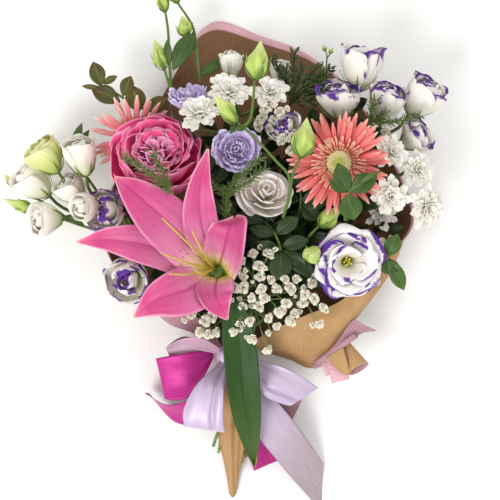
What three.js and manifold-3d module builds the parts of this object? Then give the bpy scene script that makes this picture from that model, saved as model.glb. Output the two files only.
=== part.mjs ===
// A mixed flower bouquet in a paper wrap, tied with satin ribbons and lying on its back on a table.
// Millimetres, +Z up. The stems run along Y with the blooms towards +Y and the cut ends towards -Y.
// The origin is on the table under the middle of the bouquet's box; while it is laid out, it is measured
// from the tie, with x to the right and y towards the blooms.
import * as THREE from "three";
import { mergeVertices } from "three/addons/utils/BufferGeometryUtils.js";
import Module from "manifold-3d";

const wasm = await Module();
wasm.setup();

// ---------------------------------------------------------------- driving dimensions

const EYE = new THREE.Vector3(15, 102, 1500); // where a person stands looking straight down on it
const CLEARANCE = 0.35; // left between neighbouring pieces
const JOINT_SEATS = [1, 1.5, 2.1]; // the same, to where a spray's stalks part
const STEM_TIP = 0.9; // a stem's radius where it meets what it carries
const SEAT = 0.6; // from a stem's tip to what it carries, along the stem
const PETAL = 0.8; // thickness of a petal
const LEAF = 0.9; // thickness of a leaf
const PAPER = 0.8; // thickness of the wrapping paper with its layers
const RIBBON = 0.8; // thickness of the satin ribbon
const STEM_RADIUS = 1.9;
const TWIG_RADII = [1.26, 0.9]; // of a sprig's own twigs, from foot to tip
const NEEDLE_TWIG_RADII = [1.2, 0.8];
const BRANCH_RADIUS = 1.17; // of the stems' side branches
const TIE_HEIGHT = 24; // the tied stems' middle above the table
const BUNDLE_RADIUS = 14; // the stems where they are tied
const BINDING_RADIUS = 15.4;
const BAND_RADIUS = 16.8;
const BAND_THICKNESS = 1;
const BINDING_LENGTH = 16;
const BAND_LENGTH = 10;
const BAND_MIDDLE = -2; // the ribbon round the tie, along y
const NUDGE = 0.01; // a small step along a line, to see which way it runs
const STEEP = 0.9; // a tube that starts more upright than this has its first side towards X
const DEGREE = Math.PI / 180;
const X_AXIS = new THREE.Vector3(1, 0, 0);
const Y_AXIS = new THREE.Vector3(0, 1, 0);
const Z_AXIS = new THREE.Vector3(0, 0, 1);
const ASKEW = new THREE.Vector3(0.3, 0.5, 0.8); // a direction that no needle points in

const COLOURS = {
  pink: 0xd6609a,
  hotPink: 0xee4b83,
  coral: 0xf07a76,
  disc: 0xc8c24a,
  white: 0xefe9df,
  cream: 0xf0dfd0,
  lavender: 0xa892d0,
  purpleWhite: 0xe6dcea,
  bud: 0xc9d67a,
  leaf: 0x3e5b24,
  darkLeaf: 0x2c4219,
  needle: 0x4a6a3a,
  gypsophila: 0xf2ece0,
  filament: 0xd9b560,
  kraft: 0xc09a66,
  magenta: 0xa8216f,
  lilac: 0xc7b6cc,
  binding: 0xcfc6a8,
  stem: 0x5b7a3a,
};

const ROUGHNESS = { magenta: 0.35, lilac: 0.35, kraft: 0.85, stem: 0.6, leaf: 0.55, darkLeaf: 0.5 };

// ---------------------------------------------------------------- places and random draws

// The place at height z that the eye sees over the table's point (x, y).
const seen = (x, y, z) => new THREE.Vector3(x, y, 0).lerp(EYE, z / EYE.z);

// How much smaller a piece at height z is than the patch of table that it hides.
const nearness = (z) => 1 - z / EYE.z;

// A seeded draw, even between 0 and 1.
function drawFrom(seed) {
  let state = seed;
  return () => {
    state = (state * 1664525 + 1013904223) % 4294967296;
    return state / 4294967296;
  };
}

const along = (points, t) => new THREE.CatmullRomCurve3(points, false, "catmullrom").getPoint(t);

// The value at t of a list of numbers spread evenly from 0 to 1.
function between(values, t) {
  const place = Math.min(Math.max(t, 0), 1) * (values.length - 1);
  const low = Math.min(Math.floor(place), values.length - 2);
  return THREE.MathUtils.lerp(values[low], values[low + 1], place - low);
}

// ---------------------------------------------------------------- solids

function geometryOf(vertices, triangles) {
  const geometry = new THREE.BufferGeometry();
  geometry.setAttribute("position", new THREE.Float32BufferAttribute(vertices.flatMap((v) => v.toArray()), 3));
  geometry.setIndex(triangles);
  return geometry;
}

function solidOf(geometry) {
  const bare = geometry.clone();
  bare.deleteAttribute("normal");
  bare.deleteAttribute("uv");
  const merged = mergeVertices(bare, 1e-4);
  return new wasm.Manifold(
    new wasm.Mesh({
      numProp: 3,
      vertProperties: merged.attributes.position.array,
      triVerts: new Uint32Array(merged.index.array),
    }),
  );
}

const fused = (solids) => wasm.Manifold.union(solids);
const placedSolid = (solid, matrix) => solid.transform(matrix.elements);

// The solid without any sealed hollow that its pieces close off between them.
const filled = (solid) =>
  solid.decompose().reduce((best, other) => (other.volume() > best.volume() ? other : best));

function geometryFrom(solid) {
  const mesh = solid.getMesh();
  const geometry = new THREE.BufferGeometry();
  geometry.setAttribute("position", new THREE.BufferAttribute(mesh.vertProperties, 3));
  geometry.setIndex(new THREE.BufferAttribute(mesh.triVerts, 1));
  geometry.computeVertexNormals();
  return geometry;
}

// A thin sheet over point(u, v), u and v from 0 to 1, with both faces split into triangles alike.
function blade(point, rows, columns, thickness) {
  const STEP = 1e-3;
  const vertices = [];
  const place = (side, i, j) => (side * (rows + 1) + i) * (columns + 1) + j;
  for (const side of [0, 1])
    for (let i = 0; i <= rows; i++)
      for (let j = 0; j <= columns; j++) {
        const u = i / rows;
        const v = j / columns;
        const alongU = point(Math.min(u + STEP, 1), v).sub(point(Math.max(u - STEP, 0), v));
        const alongV = point(u, Math.min(v + STEP, 1)).sub(point(u, Math.max(v - STEP, 0)));
        const normal = alongU.cross(alongV).normalize();
        vertices.push(point(u, v).addScaledVector(normal, thickness * (0.5 - side)));
      }
  const triangles = [];
  for (let i = 0; i < rows; i++)
    for (let j = 0; j < columns; j++) {
      const [a, b, c, d] = [[i, j], [i + 1, j], [i + 1, j + 1], [i, j + 1]];
      triangles.push(place(0, ...a), place(0, ...b), place(0, ...c));
      triangles.push(place(0, ...a), place(0, ...c), place(0, ...d));
      triangles.push(place(1, ...a), place(1, ...c), place(1, ...b));
      triangles.push(place(1, ...a), place(1, ...d), place(1, ...c));
    }
  const wall = (p, q) => {
    triangles.push(place(0, ...q), place(0, ...p), place(1, ...p));
    triangles.push(place(0, ...q), place(1, ...p), place(1, ...q));
  };
  for (let i = 0; i < rows; i++) {
    wall([i, 0], [i + 1, 0]);
    wall([i + 1, columns], [i, columns]);
  }
  for (let j = 0; j < columns; j++) {
    wall([rows, j], [rows, j + 1]);
    wall([0, j + 1], [0, j]);
  }
  return solidOf(geometryOf(vertices, triangles));
}

// The straight stretches of a tube along a line of points, and the place at share t of them.
const stations = (line, steps) => Array.from({ length: steps + 1 }, (_, i) => along(line, i / steps));
function onStretch(stretches, t) {
  const place = Math.min(Math.max(t, 0), 1) * (stretches.length - 1);
  const low = Math.min(Math.floor(place), stretches.length - 2);
  return stretches[low].clone().lerp(stretches[low + 1], place - low);
}

// A tube with flat sides along a line of points; radii run from its start to its end.
function tube(line, radii, sides, steps) {
  const vertices = [];
  const first = along(line, NUDGE).sub(line[0]).normalize();
  const side = Math.abs(first.z) > STEEP ? X_AXIS.clone() : Z_AXIS.clone();
  for (let i = 0; i <= steps; i++) {
    const t = i / steps;
    const ahead = along(line, Math.min(t + NUDGE, 1)).sub(along(line, Math.max(t - NUDGE, 0))).normalize();
    side.addScaledVector(ahead, -side.dot(ahead)).normalize();
    const up = ahead.clone().cross(side);
    for (let k = 0; k < sides; k++) {
      const turn = (k / sides) * 2 * Math.PI;
      const radius = between(radii, t);
      vertices.push(
        along(line, t)
          .addScaledVector(side, Math.cos(turn) * radius)
          .addScaledVector(up, Math.sin(turn) * radius),
      );
    }
  }
  const triangles = [];
  for (let i = 0; i < steps; i++)
    for (let k = 0; k < sides; k++) {
      const next = (k + 1) % sides;
      const [a, b, c, d] = [i * sides + k, i * sides + next, (i + 1) * sides + next, (i + 1) * sides + k];
      triangles.push(a, b, c, a, c, d);
    }
  for (let k = 1; k < sides - 1; k++) {
    triangles.push(0, k + 1, k);
    triangles.push(steps * sides, steps * sides + k, steps * sides + k + 1);
  }
  return solidOf(geometryOf(vertices, triangles));
}

// A three-sided needle from foot to tip.
function needle(foot, tip, radius) {
  const ahead = tip.clone().sub(foot).normalize();
  const side = ASKEW.clone().cross(ahead).normalize();
  const up = ahead.clone().cross(side);
  const vertices = [0, 1, 2].map((k) =>
    foot
      .clone()
      .addScaledVector(side, Math.cos((k * 2 * Math.PI) / 3) * radius)
      .addScaledVector(up, Math.sin((k * 2 * Math.PI) / 3) * radius),
  );
  return solidOf(geometryOf([...vertices, tip.clone()], [0, 2, 1, 0, 1, 3, 1, 2, 3, 2, 0, 3]));
}

// A turned solid about Z; the outline is [radius, height] from the axis below to the axis above.
function turned(outline, sides) {
  const profile = outline.map(([r, z]) => new THREE.Vector2(r, z));
  return solidOf(new THREE.LatheGeometry(profile, sides).rotateX(Math.PI / 2));
}

// A band over a mid-line with widths, roll angles (degrees) and edges raised by cup, each from root to tip.
function strap({ line, widths, across, roll = [0, 0], cup = [0, 0] }) {
  const reach = line[line.length - 1].clone().sub(line[0]);
  const base = (across ?? new THREE.Vector3(reach.y, -reach.x, 0)).clone().normalize();
  return (u, v) => {
    const ahead = along(line, Math.min(u + NUDGE, 1)).sub(along(line, Math.max(u - NUDGE, 0))).normalize();
    const side = base.clone().addScaledVector(ahead, -base.dot(ahead)).normalize();
    const up = side.clone().cross(ahead);
    const angle = between(roll, u) * DEGREE;
    const out = 2 * v - 1;
    const half = between(widths, u) / 2;
    return along(line, u)
      .addScaledVector(side, out * half * Math.cos(angle))
      .addScaledVector(up, out * half * Math.sin(angle) + between(cup, u) * out * out);
  };
}

// ---------------------------------------------------------------- flowers, each facing +Z from its foot

// A cup-shaped bloom in one body: nested walls of overlapping petals on a green calyx.
// Each layer lists its wall's [radius, height] low down and at the rim, and how far petal edges dip there.
function cupBloom({ size, petals, layers, calyx, stagger }) {
  const EDGES = [-0.47, 0, 0.47]; // a petal's left edge, middle and right edge, as shares of its slice
  const LOW_STAGGER = 0.3; // petals overlap less low down than at the rim
  const ring = (radius, height, turn, step, dip) =>
    Array.from({ length: petals * EDGES.length }, (_, slot) => {
      const edge = slot % EDGES.length;
      const angle = turn + ((Math.floor(slot / EDGES.length) + EDGES[edge]) / petals) * 2 * Math.PI;
      const reach = (radius + step * (edge - 1)) * size;
      const rise = (height - (edge === 1 ? 0 : dip)) * size;
      return new THREE.Vector3(reach * Math.cos(angle), reach * Math.sin(angle), rise);
    });
  const rings = calyx.map(([radius, height]) => ring(radius, height, 0, 0, 0));
  const wall = PETAL / size;
  layers.forEach(({ low, rim, dip }, layer) => {
    const turn = layer * 0.5;
    const slope = Math.atan2(rim[0] - low[0], rim[1] - low[1]);
    const [inwards, upwards] = [wall * Math.cos(slope), wall * Math.sin(slope)];
    rings.push(ring(low[0], low[1], turn, stagger * LOW_STAGGER, 0));
    rings.push(ring(rim[0], rim[1], turn, stagger, dip));
    rings.push(ring(rim[0] - inwards, rim[1] + upwards, turn, stagger, dip));
    rings.push(ring(low[0] - inwards, low[1] + upwards, turn, stagger * LOW_STAGGER, 0));
  });
  const last = layers[layers.length - 1].low;
  return ringed(rings, new THREE.Vector3(0, 0, 0), new THREE.Vector3(0, 0, (last[1] - wall) * size));
}

// One closed body from rings of points, with a point below the first ring and one above the last. A stretch
// that narrows is split the other way from one that widens, so both faces of a thin wall are split alike.
function ringed(rings, below, above) {
  const count = rings[0].length;
  const last = (rings.length - 1) * count;
  const triangles = [];
  for (let k = 0; k < count; k++) {
    const next = (k + 1) % count;
    for (let r = 0; r < rings.length - 1; r++) {
      const [a, b, c, d] = [r * count + k, r * count + next, (r + 1) * count + next, (r + 1) * count + k];
      const widens = fromAxis(rings[r + 1][k]) > fromAxis(rings[r][k]);
      if (widens) triangles.push(a, b, c, a, c, d);
      else triangles.push(a, b, d, b, c, d);
    }
    triangles.push(rings.length * count, next, k);
    triangles.push(rings.length * count + 1, last + k, last + next);
  }
  return solidOf(geometryOf([...rings.flat(), below, above], triangles));
}

const fromAxis = (point) => Math.hypot(point.x, point.y);

// A flower head of petal layers that step inwards and upwards. Each layer lists the radius and height of its
// petals' roots below and of their tips; the last ring closes the middle.
function rayedHead({ petals, foot, layers, middle, top, seed }) {
  const draw = drawFrom(seed);
  const SLOTS = 2; // a valley and a tip
  const at = (radius, slot, height) => {
    const turn = (slot / (petals * SLOTS)) * 2 * Math.PI;
    return new THREE.Vector3(radius * Math.cos(turn), radius * Math.sin(turn), height);
  };
  const slots = Array.from({ length: petals * SLOTS }, (_, slot) => slot);
  const rings = [slots.map((slot) => at(foot, slot, 0.5))];
  layers.forEach(({ root, low, tip, high, valley }, layer) => {
    rings.push(slots.map((slot) => at(root, slot, low)));
    const uneven = slots.map(() => 0.93 + 0.1 * draw());
    rings.push(slots.map((slot) => {
      const inPetal = (slot + layer) % SLOTS !== 0;
      const reach = inPetal ? tip * uneven[slot] : valley;
      return at(reach, slot, inPetal ? high : low + ((high - low) * (valley - root)) / (tip - root));
    }));
  });
  rings.push(slots.map((slot) => at(middle, slot, top)));
  return ringed(rings, new THREE.Vector3(0, 0, 0), new THREE.Vector3(0, 0, top + middle * 0.3));
}

function mum({ width, petals = 7, full = true, seed }) {
  const radius = width / 2;
  const layers = [
    { root: radius * 0.4, low: 5, tip: radius, high: 6, valley: radius * 0.62 },
    { root: radius * 0.4, low: 7.4, tip: radius * 0.86, high: 11, valley: radius * 0.54 },
  ];
  const inner = { root: radius * 0.34, low: 9.6, tip: radius * 0.62, high: 14.5, valley: radius * 0.42 };
  if (full) layers.push(inner);
  return rayedHead({ petals, foot: 2, layers, middle: radius * 0.24, top: 11.6, seed });
}

function gerbera({ width, petals, cupped, seed }) {
  const radius = width / 2;
  const layers = [
    { root: radius * 0.3, low: 7, tip: radius, high: 8 + cupped, valley: radius * 0.5 },
    { root: radius * 0.32, low: 8.6, tip: radius * 0.84, high: 10 + cupped, valley: radius * 0.46 },
    { root: radius * 0.31, low: 10.2, tip: radius * 0.48, high: 13.5, valley: radius * 0.37 },
  ];
  return rayedHead({ petals, foot: 3, layers, middle: radius * 0.25, top: 12.4, seed });
}

// A lisianthus: spread tells how far its outer rim lies out, as a share of half its width.
function lisianthus({ width, height = 34, spread = 1, inner = true, petals = 5 }) {
  const outer = { low: [9, 14], rim: [21 * spread, height], dip: 4 };
  const layers = inner ? [outer, { low: [5.4, 15], rim: [10.5 * spread, height - 2.5], dip: 2 }] : [outer];
  return cupBloom({ size: width / 42, petals, layers, calyx: [[3.6, 2]], stagger: 1.1 });
}

const rose = ({ width }) => cupBloom({ size: width / 100, petals: 5, stagger: 1.6, calyx: [[11, 3]],
  layers: [{ low: [36, 15], rim: [49, 28], dip: 5 }, { low: [28, 20], rim: [38, 40], dip: 4 },
    { low: [19, 26], rim: [25, 45], dip: 4 }, { low: [10, 31], rim: [12, 44], dip: 3 }] });

const frilledBloom = ({ width, full = true }) => cupBloom({
  size: width / 100, petals: 5, stagger: 2, calyx: [[9, 5]],
  layers: [{ low: [24, 24], rim: [49, 36], dip: 5 }, { low: [18, 28], rim: [33, 42], dip: 4 },
    { low: [10, 31], rim: [17, 42], dip: 4 }].slice(0, full ? 3 : 2) });

function bud({ width, length }) {
  const half = width / 2;
  const outline = [[0, 0], [0.6, 0.1], [1, 0.42], [0.6, 0.76], [0, 1]];
  return turned(outline.map(([out, share]) => [half * out, length * share]), 6);
}

// ---------------------------------------------------------------- where the blooms are

// Each bloom: the place where the eye sees its middle, that middle's height over the table and over its own
// foot, the way it faces, and its shape.
const WHITE = "white";
const BLOOMS = {
  gerbera_front: { at: [104, 189], z: 132, middle: 12, facing: [-0.12, -0.12, 0.98], colour: "coral",
    make: () => gerbera({ width: 104, petals: 19, cupped: 9, seed: 11 }) },
  rose: { at: [-78, 196], z: 112, middle: 30, facing: [0.05, 0.5, 0.86], colour: "hotPink",
    make: () => rose({ width: 92 }) },
  lisianthus_cream: { at: [31, 160], z: 122, middle: 22, facing: [0.12, 0.35, 0.93], colour: "cream",
    make: () => frilledBloom({ width: 56 }) },
  lisianthus_lavender_open: { at: [2, 202], z: 124, middle: 20, facing: [0.02, 0.12, 0.99],
    colour: "lavender",
    make: () => frilledBloom({ width: 50 }) },
  lisianthus_front: { at: [112, 91], z: 104, middle: 18, facing: [0.05, -0.1, 0.99], colour: "purpleWhite",
    make: () => lisianthus({ width: 66, height: 22 }) },
  mum_low_right: { at: [157, 155], z: 112, middle: 10, facing: [0.25, -0.15, 0.95], colour: WHITE,
    make: () => mum({ width: 44, seed: 21 }) },
  mum_far_right: { at: [194, 144], z: 96, middle: 10, facing: [0.5, -0.25, 0.83], colour: WHITE,
    make: () => mum({ width: 46, seed: 22 }) },
  mum_right: { at: [184, 183], z: 100, middle: 10, facing: [0.45, 0.1, 0.88], colour: WHITE,
    make: () => mum({ width: 42, full: false, seed: 23 }) },
  mum_upper_right: { at: [158, 200], z: 118, middle: 10, facing: [0.3, 0.2, 0.93], colour: WHITE,
    make: () => mum({ width: 38, full: false, seed: 24 }) },
  mum_top_left: { at: [-36, 241], z: 118, middle: 10, facing: [-0.05, 0.62, 0.78], colour: WHITE,
    make: () => mum({ width: 50, seed: 25 }) },
  mum_top: { at: [-5, 262], z: 106, middle: 10, facing: [0.02, 0.55, 0.83], colour: WHITE,
    make: () => mum({ width: 48, full: false, seed: 26 }) },
  mum_top_right: { at: [35, 261], z: 98, middle: 10, facing: [0.12, 0.45, 0.88], colour: WHITE,
    make: () => mum({ width: 42, full: false, seed: 27 }) },
  mum_hidden: { at: [147, 137], z: 80, middle: 10, facing: [0.2, -0.1, 0.97], colour: WHITE,
    make: () => mum({ width: 34, full: false, seed: 28 }) },
  mum_edge: { at: [153, 103], z: 78, middle: 10, facing: [0.35, -0.2, 0.91], colour: WHITE,
    make: () => mum({ width: 34, full: false, seed: 29 }) },
  lisianthus_top: { at: [126, 283], z: 82, middle: 24, facing: [0.15, 0.9, 0.42], colour: "purpleWhite",
    make: () => lisianthus({ width: 46, inner: false }) },
  lisianthus_upper: { at: [152, 252], z: 88, middle: 22, facing: [0.3, 0.72, 0.62], colour: "purpleWhite",
    make: () => lisianthus({ width: 40, inner: false }) },
  lisianthus_outer: { at: [186, 254], z: 76, middle: 22, facing: [0.55, 0.62, 0.56], colour: "purpleWhite",
    make: () => lisianthus({ width: 42 }) },
  lisianthus_right: { at: [180, 215], z: 78, middle: 18, facing: [0.6, 0.35, 0.72], colour: "purpleWhite",
    make: () => lisianthus({ width: 40, height: 28, inner: false }) },
  lisianthus_rear: { at: [104, 248], z: 88, middle: 18, facing: [0, 0.7, 0.71], colour: "purpleWhite",
    make: () => lisianthus({ width: 48, height: 30, inner: false, petals: 4 }) },
  lisianthus_peeping: { at: [50, 224], z: 92, middle: 16, facing: [-0.2, 0.3, 0.93], colour: "purpleWhite",
    make: () => lisianthus({ width: 36, height: 28, inner: false, petals: 4 }) },
  lisianthus_high_left: { at: [-126, 142], z: 78, middle: 18, facing: [-0.45, 0.1, 0.89],
    colour: "purpleWhite",
    make: () => lisianthus({ width: 44, height: 28, inner: false }) },
  lisianthus_low_left: { at: [-106, 74], z: 74, middle: 18, facing: [-0.3, -0.3, 0.9], colour: "purpleWhite",
    make: () => lisianthus({ width: 46, height: 27, inner: false }) },
  lisianthus_lavender_side: { at: [-47, 260], z: 90, middle: 22, facing: [-0.05, 0.86, 0.5],
    colour: "lavender",
    make: () => frilledBloom({ width: 46, full: false }) },
  gerbera_back: { at: [-99, 214], z: 71, middle: 9, facing: [-0.3, 0.42, -0.86], colour: "coral",
    stemFrom: [0.12, -0.99, -0.06],
    make: () => gerbera({ width: 92, petals: 14, cupped: 9, seed: 12 }) },
  white_back: { at: [-4, 290], z: 62, middle: 20, facing: [0.02, 0.85, 0.52], colour: WHITE,
    make: () => lisianthus({ width: 34, spread: 0.7, inner: false, petals: 4 }) },
  white_back_right: { at: [45, 281], z: 60, middle: 18, facing: [0.15, 0.8, 0.58], colour: WHITE,
    make: () => lisianthus({ width: 32, spread: 0.7, inner: false, petals: 4 }) },
  bunch_green: { at: [-188, 194], z: 76, middle: 20, facing: [-0.68, 0.5, 0.52], colour: "bud",
    make: () => lisianthus({ width: 42, spread: 0.9, inner: false, petals: 4 }) },
  bunch_top: { at: [-154, 195], z: 86, middle: 22, facing: [-0.4, 0.68, 0.6], colour: WHITE,
    make: () => lisianthus({ width: 42, height: 36, spread: 0.85, inner: false, petals: 4 }) },
  bunch_left: { at: [-199, 168], z: 54, middle: 20, facing: [-0.72, 0.36, 0.58], colour: WHITE,
    make: () => lisianthus({ width: 44, height: 36, spread: 0.9, inner: false, petals: 4 }) },
  bunch_middle: { at: [-163, 162], z: 62, middle: 18, facing: [-0.55, 0.45, 0.7], colour: WHITE,
    make: () => lisianthus({ width: 36, spread: 0.9, inner: false, petals: 4 }) },
  bunch_inner: { at: [-149, 145], z: 88, middle: 18, facing: [-0.72, -0.1, 0.68], colour: WHITE,
    make: () => lisianthus({ width: 34, spread: 0.9, inner: false, petals: 4 }) },
  bunch_low: { at: [-188, 133], z: 58, middle: 18, facing: [-0.7, -0.35, 0.6], colour: WHITE,
    make: () => lisianthus({ width: 36, spread: 1, inner: false, petals: 4 }) },
};

// ---------------------------------------------------------------- the lily

const THROAT = { at: [-21, 83], z: 112 };

// Each tepal: the table points and heights that its mid-line passes, its widths and the way it rolls.
const TEPALS = [
  { line: [[-26, 86, 112], [-62, 124, 148], [-96, 155, 152], [-120, 175, 138]], widths: [8, 34, 46, 40, 5],
    roll: [-8, 4], cup: [4, 3, 1] },
  { line: [[-28, 82, 110], [-80, 104, 134], [-122, 112, 134], [-158, 110, 120]], widths: [7, 26, 34, 28, 4],
    roll: [10, 6], cup: [3, 2, 1] },
  { line: [[-26, 76, 112], [-48, 62, 138], [-78, 52, 142], [-101, 35, 126]], widths: [8, 34, 44, 36, 5],
    roll: [-6, -12], cup: [3, 3, 1] },
  { line: [[-18, 74, 112], [-20, 62, 132], [-16, 48, 136], [-7.5, 33, 122]], widths: [7, 26, 34, 26, 4],
    roll: [12, 16], cup: [4, 3, 1] },
  { line: [[-14, 88, 112], [-8, 106, 140], [-2, 122, 146], [6, 125, 134]], widths: [8, 30, 38, 34, 8],
    roll: [24, 30], cup: [6, 5, 2] },
  { line: [[-22, 92, 112], [-34, 128, 148], [-35, 165, 162], [-27, 203, 158]], widths: [7, 22, 30, 24, 4],
    roll: [-6, -4], cup: [3, 2, 1] },
];
const LILY_FOOT = new THREE.Vector3(6, -4, -42); // from the throat
const LILY_TUBE = { bend: new THREE.Vector3(2, -1, -14), radii: [3, 7, 9.5] };
const TEPAL_ROOT = new THREE.Vector3(1, -1, -10); // from where a tepal leaves the throat
const TEPAL_ROOT_WIDTH = 4;
const TEPAL = 1.04; // thickness of a tepal
const FILAMENT_ENDS = [[-73, 134], [-43, 121], [-74, 99], [-41, 83], [-65.5, 78]];
const FILAMENT_RISE = { tip: 56, bend: 9, root: 3.5 };
const FILAMENT_RADII = [1.3, 1, 0.7];
const PISTIL = { low: -10.5, high: 5.5, radii: [2, 3.6] };

function lilyBloom() {
  const throat = seen(...THROAT.at, THROAT.z);
  const foot = throat.clone().add(LILY_FOOT);
  const pieces = [tube([foot, throat.clone().add(LILY_TUBE.bend), throat], LILY_TUBE.radii, 6, 2)];
  for (const { line, widths, roll, cup } of TEPALS) {
    const places = line.map(([x, y, z]) => seen(x, y, z));
    const root = places[0].clone().add(TEPAL_ROOT);
    const shape = { line: [root, ...places], widths: [TEPAL_ROOT_WIDTH, ...widths], roll, cup };
    pieces.push(blade(strap(shape), 4, 2, TEPAL));
  }
  return { solid: fused([...pieces, lilyStamens()]), foot };
}

function lilyStamens() {
  const throat = seen(...THROAT.at, THROAT.z);
  const over = (height) => throat.clone().setZ(throat.z + height);
  const pieces = [tube([over(PISTIL.low), over(PISTIL.high)], PISTIL.radii, 5, 1)];
  for (const [x, y] of FILAMENT_ENDS) {
    const end = seen(x, y, THROAT.z + FILAMENT_RISE.tip);
    const bend = over(0).lerp(end, 0.5);
    bend.z += FILAMENT_RISE.bend;
    pieces.push(tube([over(FILAMENT_RISE.root), bend, end], FILAMENT_RADII, 3, 3));
  }
  return fused(pieces);
}

// ---------------------------------------------------------------- paper, ribbons and the tie

// A sheet through a net of points: rows of places across it, from the tie outwards.
const patch = (net) => (u, v) => along(net.map((row) => along(row.map((p) => new THREE.Vector3(...p)), v)), u);

// The paper lies on the table where its net would dip below it.
const paperPoint = (net) => {
  const point = patch(net);
  return (u, v) => {
    const place = point(u, v);
    return place.setZ(Math.max(place.z, PAPER / 2));
  };
};

// Round the tied stems: a point at an angle (degrees, 0 to the right, 90 up) and radius, at length y.
const roundTie = (angle, radius, y) =>
  [radius * Math.cos(angle * DEGREE), y, TIE_HEIGHT + radius * Math.sin(angle * DEGREE)];

const PAPER_RADIUS = 17.4;
const UNDER = -6; // the net runs below the table here, so that the paper lies flat on it
const BACK_SHEET = [
  [184, 222, 258, 282, 318, 356].map((angle) => roundTie(angle, PAPER_RADIUS, 4)),
  [[-72, 44, 40], [-56, 42, 14], [-22, 42, UNDER], [28, 42, UNDER], [86, 36, 16], [112, 40, 52]],
  [[-121, 92, 36], [-102, 94, 12], [-45, 95, UNDER], [55, 95, UNDER], [124, 94, 20], [151, 97, 68]],
  [[-126, 148, 32], [-106, 150, 10], [-45, 150, UNDER], [60, 150, UNDER], [134, 146, 16], [172, 139, 60]],
  [[-76, 246, 22], [-55, 250, 7], [-25, 252, UNDER], [35, 248, UNDER], [95, 235, 8], [138, 222, 30]],
  [[-42, 308, 9], [-30, 324, 5], [-12, 330, 2], [25, 316, 2], [65, 301, 4], [102, 275, 12]],
];
const CUFF_RADIUS = 18.5;
const FRONT_CUFF = [
  [70, 35, 0].map((angle) => roundTie(angle, CUFF_RADIUS, 6)),
  [[34, 24, 66], [46, 8, 58], [52, -4, 42]],
  [[66, 40, 84], [80, 18, 76], [80, -10, 50]],
  [[101, 55, 92], [114, 43, 86], [115, 34, 62]],
  [[132, 85, 92], [142, 83, 86], [146, 77, 76]],
  [[154, 110, 90], [158, 110, 87], [160, 109, 84]],
];
const LEFT_FOLD = [
  [126, 152, 174].map((angle) => roundTie(angle, PAPER_RADIUS, 5)),
  [[-26, 30, 60], [-34, 26, 50], [-38, 20, 38]],
  [[-50, 46, 76], [-58, 40, 66], [-62, 30, 50]],
  [[-64, 58, 84], [-72, 52, 76], [-78, 44, 60]],
];
const SKIRT = [
  [200, 240, 270, 300, 340].map((angle) => roundTie(angle, PAPER_RADIUS, -8)),
  [[-24, -40, 16], [-12, -42, 8], [8, -42, 5], [30, -42, 8], [44, -40, 18]],
  [[-17, -70, 12], [-8, -90, 4], [6, -84, 2], [34, -66, 4], [62, -46, 16]],
  [[-9, -118, 6], [-4, -141, 1.5], [5, -110, 1], [46, -84, 2], [70, -40, 14]],
];

const RIBBON_NETS = {
  magenta_loop: [
    [[-20.3, 5, 51], [-20.3, -2, 50]], [[-48, 2, 70], [-45, -24, 68]], [[-74, -3, 62], [-67, -40, 60]],
    [[-52, 1, 50], [-48, -27, 48]], [[-21, 3, 47], [-21, -3, 46]],
  ],
  pale_loop: [
    [[-13, 4, 56], [-14, 4, 51]], [[-42, 14, 76], [-44, 12, 58]], [[-62, 12, 74], [-64, 10, 62]],
    [[-44, 19, 72], [-46, 18, 56]], [[-13, 5, 51], [-14, 5, 46]],
  ],
  lilac_loop_left: [
    [[-13, -5, 54], [-5, -7, 55]], [[-38, -22, 82], [-14, -44, 84]], [[-48, -39, 76], [-27, -66, 76]],
    [[-36, -26, 70], [-14, -46, 70]], [[-13, -5, 48], [-5, -7, 47]],
  ],
  lilac_loop_right: [
    [[4, 1, 54], [4, -5, 54]], [[48, -10, 76], [24, -34, 78]], [[80, -30, 66], [53, -47, 68]],
    [[54, -18, 58], [34, -40, 58]], [[4, 0, 47], [4, -6, 46]],
  ],
  lilac_tail: [
    [[1, -8, 48], [-6, -9, 47]], [[42, -46, 44], [14, -66, 44]], [[68, -80, 26], [44, -108, 26]],
    [[88, -111, 2], [86, -158, 2]],
  ],
  magenta_tail: [
    [[2, -12.5, 45], [-6, -14, 45]], [[24, -56, 34], [2, -66, 34]], [[45, -108, 2.4], [19, -118, 2.4]],
  ],
  magenta_tail_left: [
    [[-13, -12, 45], [-3, -13.5, 45.3]], [[-42, -42, 34], [-28, -62, 34]], [[-66, -50, 20], [-58, -68, 22]],
    [[-88, -38, 18], [-86, -40, 22]],
  ],
};
const KNOT = { x: -6, y: -2, height: 48.1, length: 14, width: 12, depth: 8 };

// A closed ring round the tied stems.
function tieRing(radius, thickness, middle, length) {
  const [near, far] = [middle - length / 2, middle + length / 2];
  const outside = radius + thickness;
  const outline = [[radius, near], [outside, near], [outside, far], [radius, far], [radius, near]];
  const ring = new THREE.LatheGeometry(outline.map(([r, y]) => new THREE.Vector2(r, y)), 12);
  return solidOf(ring.translate(0, 0, TIE_HEIGHT));
}

const BIG_LEAF = {
  line: [[-3, 50, 108], [2, 26, 110], [6, -6, 100], [10, -48, 84], [15, -84, 56], [19.5, -113, 26]],
  widths: [14, 31, 34, 30, 18, 4],
};

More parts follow.
